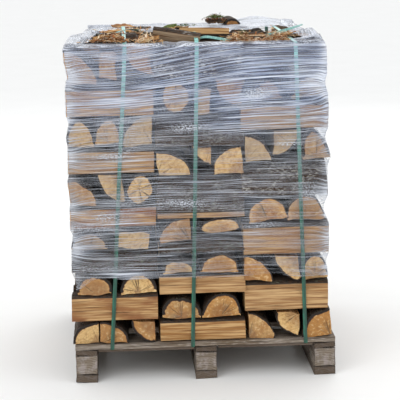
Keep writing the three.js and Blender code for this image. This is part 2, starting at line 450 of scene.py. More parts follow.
@dataclass(frozen=True)
class SawnEndGrain:
    """Birch cut across by a saw: yellow tan, blotched brown and grey round the heart, bark rim."""

    sapwood: str = "#d2ae74"
    ochre: str = "#a9763a"
    mottled: str = "#96693b"
    cream: str = "#e2c797"
    saw_line: str = "#8a683f"
    heart: str = "#724322"
    grey: str = "#8b7d6b"
    stain: str = "#5b564c"
    check: str = "#24180f"
    bark_inner: str = "#5c3520"
    bark_outer: str = "#1d1610"
    ring_mm: float = 6.0
    saw_mm: float = 5.0

    def build(self) -> bpy.types.Material:
        """Rings follow the distance from the heart; checks and stains follow the angle round it.

        Returns:
            The finished material.
        """
        r = Recipe.named("sawn_birch_end")
        grain = r.grain
        tone = r.tone
        flat = r.add("VectorMath:MULTIPLY", grain, (1.0, 1.0, 0.0))
        across = r.add("SeparateXYZ", grain).outputs
        cloud = r.noise(grain, (0.03, 0.03, 10.0), 4.0)
        mottle = r.noise(grain, (0.011, 0.011, 10.0), 3.0)
        radius = r.add("VectorMath:LENGTH", flat).outputs["Value"]
        radius = r.add(
            "Math:ADD", radius, r.add("Math:MULTIPLY", r.add("Math:SUBTRACT", cloud, 0.5), 0.05)
        )
        rings = r.add("Math:SINE", r.add("Math:MULTIPLY", radius, 2 * math.pi / (self.ring_mm * MM)))
        hue = r.add(
            "Math:ADD", r.add(EASE, tone[0], 0.1, 0.95), r.add("Math:MULTIPLY_ADD", cloud, 1.6, -0.8)
        )
        colour = r.over(linear(self.sapwood), self.ochre, r.add(EASE, hue, 0.0, 1.0))
        colour = r.over(colour, self.ochre, r.add(EASE, rings, -0.2, 1.0), 0.22)
        colour = r.over(colour, self.mottled, r.add(EASE, mottle, 0.5, 0.66), 0.55)
        colour = r.over(colour, self.cream, r.add(EASE, mottle, 0.46, 0.32), 0.5)
        reach = r.add("Math:MULTIPLY_ADD", tone[3], 0.062, 0.002)
        inner = r.add("Math:SUBTRACT", 1.0, r.add(EASE, r.add("Math:DIVIDE", radius, reach), 0.6, 1.05))
        colour = r.over(colour, self.heart, inner, 0.5)
        angle = r.add("Math:ARCTAN2", across[0], across[1])
        turn = r.add("CombineXYZ", angle, r.add("Math:MULTIPLY", tone[0], 37.0))
        wedge = r.noise(turn, (0.7, 1.0, 1.0), 2.0)
        wedge = r.add("Math:MULTIPLY", r.add(EASE, wedge, 0.56, 0.68), r.add(EASE, radius, 0.07, 0.01))
        colour = r.over(colour, self.stain, wedge, 0.55)
        slope = r.add("Math:MULTIPLY_ADD", tone[0], 1.6, -0.8)
        skew = r.add("Math:MULTIPLY_ADD", across[0], slope, across[1])
        comb = r.add("CombineXYZ", skew, across[0])
        saw = r.noise(comb, (self.saw_mm * MM, 0.11, 10.0), 2.0)
        colour = r.over(colour, self.saw_line, r.add(EASE, saw, 0.48, 0.7), 0.38)
        colour = r.over(colour, self.grey, tone[2], 0.8)
        spokes = r.noise(turn, (0.33, 1.0, 1.0), 2.0)
        check = r.add(EASE, r.add("Math:ABSOLUTE", r.add("Math:SUBTRACT", spokes, 0.6)), 0.022, 0.006)
        check = r.add("Math:MULTIPLY", check, r.add(EASE, radius, 0.08, 0.03))
        colour = r.over(colour, self.check, check, 0.8)
        edge = r.add(
            "Math:ADD", tone[1], r.add("Math:MULTIPLY", r.add("Math:SUBTRACT", mottle, 0.5), 0.7)
        )
        colour = r.over(colour, self.bark_inner, r.add(EASE, edge, 0.12, 0.26))
        colour = r.over(colour, self.bark_outer, r.add(EASE, edge, 0.28, 0.42))
        height = r.add("Math:ADD", saw, r.add("Math:MULTIPLY", check, -2.0))
        return r.finish({"Base Color": colour, "Roughness": 0.82}, height, 1.0 * MM, 0.8)


@dataclass(frozen=True)
class OldBirchBark:
    """Bark from the foot of an old birch: black furrows, grey brown ridges, lichen, papery white."""

    furrow: str = "#140f0c"
    ridge: str = "#483d34"
    brown: str = "#402b18"
    lichen: str = "#83866f"
    paper: str = "#cbc5bc"
    plate_mm: float = 17.0
    speck_mm: float = 5.0

    def build(self) -> bpy.types.Material:
        """Plates are cells longer along the grain; furrows are the gaps between them.

        Returns:
            The finished material.
        """
        r = Recipe.named("old_birch_bark")
        grain = r.grain
        tone = r.tone
        plate = self.plate_mm * MM
        scale = (1 / plate, 1 / plate, 0.3 / plate)
        scaled = r.add("VectorMath:MULTIPLY", grain, scale)
        warp = r.add("TexNoise", {"Vector": scaled, "Scale": 1.6, "Detail": 2.0}).outputs["Color"]
        bent = r.add("VectorMath:ADD", scaled, warp)
        gaps = r.add("TexVoronoi:DISTANCE_TO_EDGE", {"Vector": bent, "Scale": 1.0})
        speck = self.speck_mm * MM
        fine = r.noise(grain, (speck, speck, speck * 3), 3.0)
        broad = r.noise(grain, (0.05, 0.05, 0.08), 2.0)
        raised = r.add(EASE, r.add("Math:ADD", gaps, r.add("Math:MULTIPLY", fine, 0.3)), 0.16, 0.5)
        colour = r.over(linear(self.furrow), self.ridge, raised)
        colour = r.over(colour, self.brown, r.add(EASE, fine, 0.62, 0.42))
        lichen = r.add("Math:MULTIPLY", r.add(EASE, broad, 0.54, 0.66), r.add(EASE, fine, 0.5, 0.66))
        colour = r.over(colour, self.lichen, lichen, 0.5)
        paper = r.add("Math:MULTIPLY", r.add(EASE, broad, 0.42, 0.6), r.add(EASE, fine, 0.5, 0.6))
        paper = r.add("Math:MULTIPLY", paper, r.add(EASE, tone[2], 0.15, 0.5))
        colour = r.over(colour, self.paper, paper, 0.85)
        height = r.add("Math:ADD", r.add("Math:MULTIPLY", raised, 1.6), fine)
        return r.finish({"Base Color": colour, "Roughness": 0.9}, height, 3.5 * MM, 1.0)


@dataclass(frozen=True)
class InnerBark:
    """The inside of a bark slab: fibrous, orange brown, torn into lighter strands."""

    brown: str = "#96653a"
    orange: str = "#cf9f63"
    rotten: str = "#4a3224"
    dark: str = "#2b1c12"
    strand_mm: float = 4.0

    def build(self) -> bpy.types.Material:
        """Strands run along the grain; tone r moves the colour from orange to dark brown.

        Returns:
            The finished material.
        """
        r = Recipe.named("inner_bark")
        grain = r.grain
        tone = r.tone
        strand = self.strand_mm * MM
        strands = r.noise(grain, (strand, strand, strand * 9), 3.0)
        patches = r.noise(grain, (0.02, 0.02, 0.05), 2.0)
        colour = r.over(linear(self.orange), self.brown, r.add(EASE, patches, 0.38, 0.62))
        colour = r.over(colour, self.rotten, tone[0], 0.8)
        colour = r.over(colour, self.dark, r.add(EASE, strands, 0.54, 0.68))
        return r.finish({"Base Color": colour, "Roughness": 0.9}, strands, 2.5 * MM, 1.0)


@dataclass(frozen=True)
class Splinter:
    """Torn fibres and chips of bark and wood, from straw yellow to dark brown, strand by strand."""

    cream: str = "#efe3cf"
    straw: str = "#dfc08e"
    rust: str = "#a8652f"
    dark: str = "#2a1e16"

    def build(self) -> bpy.types.Material:
        """Tone r picks each strand's colour along a ramp.

        Returns:
            The finished material.
        """
        r = Recipe.named("torn_fibres")
        tone = r.tone
        ramp = ((0.0, self.dark), (0.45, self.rust), (0.75, self.straw), (1.0, self.cream))
        colour = r.add("ValToRGB", tone[0], ramp=ramp).outputs["Color"]
        return r.finish({"Base Color": colour, "Roughness": 0.85})


@dataclass(frozen=True)
class GreenGrowth:
    """Moss cushions and a birch leaf: yellow green over olive, dull, speckled with dead tips."""

    green: str = "#5f6d2c"
    olive: str = "#3a4220"
    tip: str = "#8f8d55"
    tuft_mm: float = 5.0

    def build(self) -> bpy.types.Material:
        """Tufts are a fine noise on the grain attribute.

        Returns:
            The finished material.
        """
        r = Recipe.named("moss_and_leaf")
        grain = r.grain
        tuft = self.tuft_mm * MM
        tufts = r.noise(grain, (tuft, tuft, tuft), 3.0)
        colour = r.over(linear(self.olive), self.green, r.add(EASE, tufts, 0.4, 0.55))
        colour = r.over(colour, self.tip, r.add(EASE, tufts, 0.58, 0.7))
        return r.finish({"Base Color": colour, "Roughness": 0.95}, tufts, 3.0 * MM, 1.0)


@dataclass(frozen=True)
class WeatheredDeal:
    """Rough-sawn softwood left outdoors: lilac grey, saw hairs, dark grain lines and dirt."""

    grey: str = "#887d70"
    brown: str = "#665643"
    line: str = "#43372e"
    light: str = "#b3a9a0"
    dark_wood_and_shade: str = "#54463b"
    dirt: str = "#2b221c"
    line_mm: float = 6.0

    def build(self) -> bpy.types.Material:
        """Grain lines follow the attribute's third axis; tone r darkens a board, as darker wood and as
        painted shade, g its dirty edges.

        Returns:
            The finished material.
        """
        r = Recipe.named("weathered_deal")
        grain = r.grain
        tone = r.tone
        line = self.line_mm * MM
        lines = r.noise(grain, (line, line, line * 40), 3.0)
        hairs = r.noise(grain, (2.0 * MM, 2.0 * MM, 0.03), 2.0)
        patches = r.noise(grain, (0.05, 0.05, 0.16), 3.0)
        cracks = r.noise(grain, (0.009, 0.009, 0.3), 2.0)
        colour = r.over(linear(self.brown), self.grey, r.add(EASE, patches, 0.35, 0.65))
        colour = r.over(colour, self.light, r.add(EASE, hairs, 0.5, 0.72))
        colour = r.over(colour, self.line, r.add(EASE, lines, 0.5, 0.64), 0.8)
        colour = r.over(colour, self.dirt, r.add(EASE, cracks, 0.62, 0.68), 0.9)
        # Tone r: darker wood on the runners, partly painted shade on the stringers and painted shadow on
        # the lath.
        colour = r.over(colour, self.dark_wood_and_shade, tone[0], 0.75)
        colour = r.over(colour, self.dirt, tone[1], 0.8)
        height = r.add("Math:ADD", lines, r.add("Math:MULTIPLY", hairs, 0.6))
        return r.finish({"Base Color": colour, "Roughness": 0.88}, height, 1.6 * MM, 0.9)


@dataclass(frozen=True)
class DealEndGrain:
    """Softwood cut across: arched rings, grey dirt, dark at the arrises, reddish dark where tone r is high:
    the low runners' own wood, painted shade on the lath and partly on the stringers.
    """

    early: str = "#867a6c"
    late: str = "#5b4d3f"
    silver: str = "#a39a96"
    low: str = "#453629"
    dirt: str = "#211a16"
    ring_mm: float = 9.0

    def build(self) -> bpy.types.Material:
        """Rings follow the distance from a heart outside the section; tone r darkens the piece, as darker
        wood and as painted shade.

        Returns:
            The finished material.
        """
        r = Recipe.named("deal_end_grain")
        grain = r.grain
        tone = r.tone
        flat = r.add("VectorMath:MULTIPLY", grain, (1.0, 1.0, 0.0))
        radius = r.add("VectorMath:LENGTH", flat).outputs["Value"]
        cloud = r.noise(grain, (0.018, 0.018, 10.0), 4.0)
        saw = r.noise(grain, (0.12, 0.004, 10.0), 2.0)
        bent = r.add("Math:ADD", radius, r.add("Math:MULTIPLY", cloud, 0.008))
        rings = r.add("Math:SINE", r.add("Math:MULTIPLY", bent, 2 * math.pi / (self.ring_mm * MM)))
        ringed = r.add("Math:MULTIPLY", r.add(EASE, rings, -0.4, 1.0), 0.55)
        colour = r.over(linear(self.early), self.late, ringed)
        colour = r.over(colour, self.silver, r.add(EASE, cloud, 0.42, 0.65), 0.7)
        colour = r.over(colour, self.late, r.add(EASE, saw, 0.5, 0.68), 0.45)
        # Tone r: darker wood on the runners, partly painted shade on the stringers and painted shadow on
        # the lath.
        colour = r.over(colour, self.low, tone[0], 0.8)
        edge = r.add(
            "Math:ADD", tone[1], r.add("Math:MULTIPLY", r.add("Math:SUBTRACT", cloud, 0.5), 0.5)
        )
        colour = r.over(colour, self.dirt, r.add(EASE, edge, 0.15, 0.75), 0.9)
        height = r.add("Math:ADD", rings, saw)
        return r.finish({"Base Color": colour, "Roughness": 0.9}, height, 0.8 * MM, 0.8)


@dataclass(frozen=True)
class EmbossedPolyester:
    """Green polyester strapping: glossy, pressed with a fine waffle that breaks up its shine.

    Where the film is pressed on it, the trapped air makes it look milky, more so towards the top.
    """

    green: str = "#094434"
    pale: str = "#186852"
    milky: str = "#9fe0da"
    waffle_mm: float = 3.0

    def build(self) -> bpy.types.Material:
        """The waffle follows the piece's own coordinates across and along the band.

        Returns:
            The finished material.
        """
        r = Recipe.named("embossed_polyester")
        place = r.grain
        scale = 2 * math.pi / (self.waffle_mm * MM)
        turned = r.add("VectorMath:MULTIPLY", place, (scale, scale, scale))
        axes = r.add("SeparateXYZ", turned).outputs
        waffle = r.add("Math:MULTIPLY", r.add("Math:SINE", axes[0]), r.add("Math:SINE", axes[2]))
        wear = r.noise(place, (0.01, 0.01, 0.05), 2.0)
        colour = r.over(linear(self.green), self.pale, r.add(EASE, wear, 0.45, 0.75))
        tone = r.tone
        creases = r.noise(place, (0.05, 0.05, 0.006), 2.0)
        milk = r.add(
            "Math:MULTIPLY",
            tone[0],
            r.add("Math:MULTIPLY_ADD", r.add(EASE, creases, 0.35, 0.65), 0.6, 0.5),
        )
        colour = r.over(colour, self.milky, milk)
        inputs = {"Base Color": colour, "Roughness": 0.34, "IOR": 1.57}
        return r.finish(inputs, waffle, 0.3 * MM, 0.6)


@dataclass(frozen=True)
class StretchFilm:
    """Clear polyethylene film in several turns: glossy, hazed blue white, combed with wrinkles."""

    haze: str = "#93989f"
    blue: str = "#8c9ec4"
    shine: str = "#dde2ec"
    wrinkle_mm: float = 3.8
    crinkle_mm: float = 3.4

    def build(self) -> bpy.types.Material:
        """Opacity is haze combed by level wrinkles, plus a few bright ones, plus crinkled bursts; these are
        painted whiter too, as painted highlights.

        The wrinkles are drawn wider than real ones, which are 1 to 3 mm, so that they show.  Tone
        r is the haze, g the crinkling, b how closely the wrinkles stand and alpha the blueness,
        partly the tint of many turns on each other and partly a painted reflection of the sky.

        Returns:
            The finished material.
        """
        r = Recipe.named("stretch_film")
        place = r.grain
        tone = r.tone
        thin = self.wrinkle_mm * MM
        close = r.noise(place, (0.22, 0.22, thin), 2.0)
        hair = r.noise(place, (0.09, 0.09, thin * 0.66), 2.0)
        long = r.noise(place, (0.5, 0.5, thin * 0.8), 1.0)
        combed = r.add(EASE, close, 0.45, 0.6)
        strands = r.add(EASE, hair, 0.48, 0.62)
        bright = r.add(EASE, long, 0.58, 0.66)
        threads = r.add(
            "Math:MULTIPLY", r.add(EASE, r.noise(place, (0.5, 0.5, thin * 0.5), 1.0), 0.62, 0.67), 0.4
        )
        depth = r.add("Math:MULTIPLY_ADD", tone[2], 0.62, -0.03)
        lines = r.add("Math:MULTIPLY_ADD", strands, 0.4, r.add("Math:MULTIPLY", combed, 0.55))
        lines = r.add("Math:MULTIPLY", lines, depth)
        lines = r.add(
            "Math:MULTIPLY_ADD", bright, r.add("Math:MULTIPLY_ADD", tone[2], 0.25, 0.2), lines
        )
        crinkle = self.crinkle_mm * MM
        burst = r.noise(place, (crinkle * 1.7, crinkle * 1.7, crinkle), 3.0)
        burst = r.add("Math:MULTIPLY", r.add(EASE, burst, 0.44, 0.6), tone[1])
        combed_haze = r.add("Math:MULTIPLY", tone[0], r.add("Math:MULTIPLY_ADD", combed, 0.8, 0.6))
        opacity = r.add(
            "Math:ADD", r.add("Math:ADD", lines, combed_haze), r.add("Math:ADD", burst, threads)
        )
        opacity = r.add("Math:MINIMUM", opacity, 0.95)
        # Painted highlight: the bright wrinkles, strands, threads and crinkled bursts are painted whiter in
        # the shine colour, together with the film's own milky haze.
        white = r.add(
            "Math:ADD",
            r.add("Math:MULTIPLY", bright, 0.5),
            r.add("Math:MULTIPLY_ADD", strands, 0.3, burst),
        )
        white = r.add("Math:MULTIPLY_ADD", threads, 2.5, white)
        white = r.add("Math:MINIMUM", r.add("Math:MULTIPLY_ADD", combed, 0.25, white), 1.0)
        white = r.add(
            "Math:MINIMUM", r.add("Math:MULTIPLY_ADD", r.add(EASE, tone[0], 0.3, 0.7), 0.5, white), 1.0
        )
        # The blue is partly the tint of many turns and partly a painted reflection of the sky.
        milk = r.over(linear(self.haze), self.blue, tone[3])
        colour = r.over(milk, self.shine, white)
        height = r.add("Math:ADD", close, r.add("Math:MULTIPLY", long, 0.8))
        height = r.add("Math:MULTIPLY_ADD", burst, 1.5, height)
        inputs = {"Base Color": colour, "Roughness": 0.28, "IOR": 1.5, "Alpha": opacity}
        return r.finish(inputs, height, 3.0 * MM, 0.8)


@dataclass(frozen=True)
class PaleFloor:
    """Matt pale board under the load, so that its contact shadow shows."""

    white: str = "#f4f4f3"
    mottled: str = "#efefee"

    def build(self) -> bpy.types.Material:
        """A board with the faintest mottling.

        Returns:
            The finished material.
        """
        r = Recipe.named("pale_floor")
        place = r.add("TexCoord").outputs["Object"]
        mottle = r.noise(place, (0.4, 0.4, 0.4), 3.0)
        colour = r.over(linear(self.white), self.mottled, mottle)
        return r.finish({"Base Color": colour, "Roughness": 0.9})


# ---------------------------------------------------------------- sections and swept pieces


class Cut(Enum):
    """How a log was split, or a board sawn, by the letters that the course lists use."""

    QUARTER_LEFT = "ql"
    QUARTER_RIGHT = "qr"
    HANGING_LEFT = "hl"
    HANGING_RIGHT = "hr"
    HALF = "hf"
    LENS = "ln"
    SLAB = "sl"
    ROUND = "rd"
    BOARD = "bd"


@dataclass(frozen=True)
class Section:
    """Outline of a split log in a box one wide and one high, anticlockwise.

    The corners are joined by straight splits.  The bark is the arc of an ellipse, which starts
    after the last corner and ends before the first.  Turns are counted in quarters from +x.
    """

    corners: tuple[tuple[float, float], ...]
    centre: tuple[float, float] = (0.5, 0.5)
    radii: tuple[float, float] = (0.5, 0.5)
    start: float = 0.0
    end: float = 0.0
    heart: tuple[float, float] = (0.5, 0.5)

    def trace(self, width: float, height: float, count: int) -> tuple[Array, Array]:
        """Spreads points evenly over the outline, with every corner kept.

        Args:
            width: width of the box.
            height: height of the box.
            count: about how many points.

        Returns:
            The points, shape (n, 2), and for each whether the stretch that it starts is bark.
        """
        size = np.array([width, height])
        has_bark = self.end > self.start
        angles = np.linspace(self.start, self.end, 200) * math.pi / 2
        turns = np.stack([np.cos(angles), np.sin(angles)], axis=1)
        arc = np.array(self.centre) + np.array(self.radii) * turns
        stops = [arc[-1]] if has_bark and self.corners else []
        stops += [np.array(c) for c in self.corners]
        stops += [arc[0]] if has_bark and self.corners else [stops[0]] if stops else []
        stretches = [(np.stack([a, b]) * size, False) for a, b in zip(stops, stops[1:])]
        if has_bark:
            stretches.append((arc * size, True))
        lengths = [np.linalg.norm(np.diff(line, axis=0), axis=1).sum() for line, _ in stretches]
        points, bark = [], []
        for (line, is_bark), length in zip(stretches, lengths):
            steps = max(2, round(count * length / sum(lengths)))
            along = np.concatenate([[0.0], np.cumsum(np.linalg.norm(np.diff(line, axis=0), axis=1))])
            at = np.linspace(0.0, length, steps, endpoint=False)
            points.append(np.stack([np.interp(at, along, line[:, axis]) for axis in (0, 1)], axis=1))
            bark.append(np.full(steps, is_bark))
        return np.concatenate(points), np.concatenate(bark)


SECTIONS: dict[Cut, Section] = {
    Cut.QUARTER_LEFT: Section(((0.98, 0.02),), (1, 0), (1, 1), 1, 2, (0.98, 0.02)),
    Cut.QUARTER_RIGHT: Section(((0.02, 0.02),), (0, 0), (1, 1), 0, 1, (0.02, 0.02)),
    Cut.HANGING_LEFT: Section(((0.97, 0.98),), (1, 1), (1, 0.96), 2, 3, (0.95, 0.95)),
    Cut.HANGING_RIGHT: Section(((0.03, 0.98),), (0, 1), (1, 0.96), 3, 4, (0.05, 0.95)),
    Cut.HALF: Section(((0.01, 0.0), (0.99, 0.02)), (0.5, 0.14), (0.5, 0.86), 0, 2, (0.5, 0.1)),
    Cut.LENS: Section(((0.16, 0.0), (0.86, 0.05)), (0.5, 0.3), (0.5, 0.7), 0, 2, (0.5, -0.3)),
    Cut.SLAB: Section(((0.0, 0.02), (1.0, 0.0)), (0.5, 0.9), (0.5, 0.1), 0, 2, (0.5, -0.5)),
    Cut.ROUND: Section((), (0.5, 0.5), (0.5, 0.5), 0, 4, (0.48, 0.52)),
    Cut.BOARD: Section(((0, 0), (1, 0), (1, 1), (0, 1)), heart=(0.4, -0.8)),
}


@dataclass(frozen=True)
class Relief:
    """How far a swept surface stands away from its plain form, in metres."""

    warp: float = 2.5 * MM
    fibre: float = 1.1 * MM
    bark: float = 3.0 * MM
    lump: float = 4.5 * MM
    lean: float = 0.05
    saw_tilt: float = 0.022
    rim: float = 11.0 * MM
    dirty_ends: bool = False


@dataclass(frozen=True)
class Seat:
    """Where one straight piece lies: its corner, direction, size and share of detail."""

    centre: tuple[float, float]
    floor: float
    start: float
    along_x: bool
    width: float
    height: float
    length: float
    cut: Cut
    index: int
    around: int = 44
    rings: int = 16
    tone: tuple[float, float] = (0.5, 0.0)
    tip: float = 0.0
    roll: float = 0.0


def swept_piece(seat: Seat, relief: Relief) -> Shell:
    """Carries a section along a straight line, roughens it and closes both ends.

    Point(t, s) = section(t) turned by a slight twist * s, plus warp noise, plus fibre ridges on
    split stretches or bark ridges on the arc, each along the outline's normal.  The ends are flat
    cuts tilted a little, with a ring set in by the bark's thickness and a centre point.

    Args:
        seat: where the piece lies and how it was cut.
        relief: heights of the roughness.

    Returns:
        The closed shell: slot 0 is bark, 1 is split wood, 2 is the sawn end.
    """
    rng = np.random.default_rng(9000 + seat.index)
    section = SECTIONS[seat.cut]
    flat, bark = section.trace(seat.width, seat.height, seat.around)
    count = len(flat)
    heart = np.array(section.heart) * (seat.width, seat.height)
    ahead = np.roll(flat, -1, axis=0) - flat
    behind = flat - np.roll(flat, 1, axis=0)
    tangent = ahead / np.linalg.norm(ahead, axis=1)[:, None]
    tangent = tangent + behind / np.linalg.norm(behind, axis=1)[:, None]
    normal = np.stack([tangent[:, 1], -tangent[:, 0]], axis=1)
    normal /= np.maximum(np.linalg.norm(normal, axis=1), 0.3)[:, None]
    # Lumps and a lean of the whole section, fitted back into its box.
    lumps = plane_noise(flat[:, 0] + seat.index, flat[:, 1], (0.045, 0.045), 5) * relief.lump
    flat = flat + normal * lumps[:, None]
    flat[:, 0] += rng.normal(0.0, relief.lean) * flat[:, 1]
    flat = (flat - flat.min(axis=0)) / np.ptp(flat, axis=0) * (seat.width, seat.height)
    s = np.linspace(-0.5, 0.5, seat.rings)[:, None] * seat.length + np.zeros(count)
    middle = flat.mean(axis=0)
    angle = (rng.normal(0.0, 0.05) * s / 0.33 + seat.roll)[..., None]
    arm = flat - middle
    across, upward = arm[:, :1], arm[:, 1:]
    turned = (
        across * np.cos(angle) - upward * np.sin(angle),
        across * np.sin(angle) + upward * np.cos(angle),
    )
    outline = middle + np.concatenate(turned, axis=-1)
    place = np.concatenate([outline, s[..., None]], axis=-1) + (0.0, 0.0, seat.index * 1.7)
    warp = smooth_noise(place, (0.06, 0.06, 0.16), 11) * relief.warp
    ridges = rough_noise(place, (0.009, 0.009, 0.16), 23, 2) * relief.fibre
    plates = rough_noise(place, (0.02, 0.02, 0.045), 37, 3) * relief.bark
    whole_bark = bark & np.roll(bark, 1)
    rise = warp + np.where(whole_bark, plates, ridges)
    outline = outline + normal * rise[..., None]
    tilt = rng.normal(0.0, relief.saw_tilt, (2, 2))
    share = s / seat.length + 0.5
    lean = (outline - middle) @ tilt[0] * (1 - share) + (outline - middle) @ tilt[1] * share
    sides = np.concatenate([outline, (s + lean)[..., None]], axis=-1)
    rim = (bark | np.roll(bark, 1)).astype(float)
    thick = relief.rim * (0.6 + 0.9 * rng.random())
    rows = [sides.reshape(-1, 3)]
    rims = [np.tile(rim, seat.rings)]
    quads = [tube_quads(seat.rings, count)]
    slots = [np.tile(np.where(bark, 0, 1), seat.rings - 1)]
    start = seat.rings * count
    for end, turned_over in ((sides[-1], False), (sides[0], True)):
        hub = end.mean(axis=0)
        reach = np.linalg.norm(end - hub, axis=1)[:, None]
        shrink = 1.0 - np.minimum(thick / np.maximum(reach, thick), 0.7)
        inner = hub + (end - hub) * shrink
        half = hub + (end - hub) * shrink * 0.55
        cap = np.concatenate([end, inner, half, hub[None]])
        fan = fan_quads(count, start + 2 * count, start + 3 * count)
        faces = np.concatenate([tube_quads(3, count, start), fan])
        rows.append(cap)
        outer_rim = np.full(count, 0.7) if relief.dirty_ends else rim
        rims.append(np.concatenate([outer_rim, np.zeros(2 * count + 1)]))
        quads.append(faces[:, [1, 0, 3, 2]] if turned_over else faces)
        slots.append(np.full(len(faces), 2))
        start += len(cap)
    local = np.concatenate(rows)
    grain = local - (*heart, 0.0) + (0.0, 0.0, seat.index * 1.7)
    u, v, along = local.T
    cx, cy = seat.centre
    if seat.along_x:
        points = np.stack([cx + along + seat.tip, cy + seat.start + u, seat.floor + v], axis=1)
    else:
        points = np.stack([cx + seat.start + u, cy - along + seat.tip, seat.floor + v], axis=1)
    tone = np.stack(
        [
            np.full(len(local), seat.tone[0]),
            np.concatenate(rims),
            np.full(len(local), seat.tone[1]),
            np.full(len(local), rng.random()),
        ],
        axis=1,
    )
    return Shell(points, np.concatenate(quads), np.concatenate(slots), grain, tone)


def placed(shell: Shell, place: Triple, yaw: float, pitch: float, roll: float) -> Shell:
    """Turns a shell about its origin, by roll about X, pitch about Y and yaw about Z, then moves it.

    Args:
        shell: a shell made round the origin, its length along X.
        place: where the origin goes.
        yaw: degrees about Z.
        pitch: degrees about Y, which lowers the +X end.
        roll: degrees about X.

    Returns:
        The same shell in place.
    """
    turn = Matrix.Identity(3)
    for axis, degrees in (("Z", yaw), ("Y", pitch), ("X", roll)):
        turn = turn @ Matrix.Rotation(math.radians(degrees), 3, axis)
    shell.points = shell.points @ np.array(turn).T + place
    return shell


@dataclass(frozen=True)
class Slab:
    """One curled sheet of bark, or a leaf: its length, width, thickness and how far it curls."""

    length: float
    width: float
    thick: float = 5 * MM
    curl: float = 1.6
    taper: float = 0.25
    ragged: float = 0.16
    rough: float = 2.4 * MM
    index: int = 0
    tone: float = 0.3
    white: float = 0.0
    steps: tuple[int, int] = (34, 14)


def curled_slab(slab: Slab) -> Shell:
    """Bends a sheet round its length into part of a ragged tube.

    Point(s, t) = (s * length * (1 + ragged noise(t)), r sin(curl t), r cos(curl t) - r) with
    r = width * (1 - taper (2s)^2) / curl; the outer face stands one thickness outside the inner.

    Args:
        slab: the sheet's sizes.

    Returns:
        The closed shell round the origin: slot 0 is its outer face, slot 1 its inner face and edges.
    """
    rows, columns = slab.steps
    s = np.linspace(-0.5, 0.5, rows)[:, None]
    t = np.linspace(-0.5, 0.5, columns)[None, :]
    edge = 1 + slab.ragged * plane_noise(t + slab.index, np.sign(s), (0.13, 1.0), 81)
    side = 1 + slab.ragged * plane_noise(s + slab.index, np.sign(t), (0.09, 1.0), 83)
    wide = slab.width * (1 - slab.taper * (2 * s) ** 2)
    radius = wide / slab.curl
    angle = slab.curl * t * side
    along = s * slab.length * edge
    sheets = []
    for offset in (slab.thick / 2, -slab.thick / 2):
        far = radius + offset
        bent = (along + 0 * far, far * np.sin(angle), far * np.cos(angle) - radius)
        point = np.stack(bent, axis=-1)
        place = point + (slab.index * 1.3, 0.0, 0.0)
        rise = rough_noise(place, (0.035, 0.014, 0.014), 85, 3) * slab.rough
        rise = rise + smooth_noise(place, (0.09, 0.06, 0.06), 86) * slab.rough * 2
        point[..., 2] += rise + (0.0 if offset > 0 else np.minimum(0.0, 0.3 * slab.rough))
        sheets.append(point)
    # One ring runs over the outer face and back along the inner one.
    ring = np.concatenate([sheets[0], sheets[1][:, ::-1]], axis=1)
    around = 2 * columns
    points = ring.reshape(-1, 3)
    quads = tube_quads(rows, around)[:, [1, 0, 3, 2]]
    column = np.tile(np.arange(around), rows - 1)
    slots = np.where(column < columns - 1, 0, 1)
    here = np.arange(columns - 1)
    cap = np.stack([here, here + 1, around - 2 - here, around - 1 - here], axis=-1)
    far_cap = cap[:, [1, 0, 3, 2]] + (rows - 1) * around
    quads = np.concatenate([quads, cap, far_cap])
    slots = np.concatenate([slots, np.ones(2 * (columns - 1), dtype=int)])
    grain = points[:, [1, 2, 0]] + slab.index * 1.3
    tone = np.tile([slab.tone, 0.0, slab.white, 1.0], (len(points), 1))
    return Shell(points, quads, slots, grain, tone)


@dataclass(frozen=True)
class Heap:
    """A heap of torn strands: where, how far it spreads, how high, and how long the strands are."""

    centre: Triple
    spread: Triple
    count: int
    length: float = 26 * MM
    width: float = 2.6 * MM
    seed: int = 0
    shades: tuple[float, float] = (0.05, 0.95)
    climb: float = 0.35


# The middles of the strands stay inside this box, so that none hangs over the film.
HEAP_LOW = (-0.455, -0.478, 0.0)
HEAP_HIGH = (0.455, 0.46, 2.0)


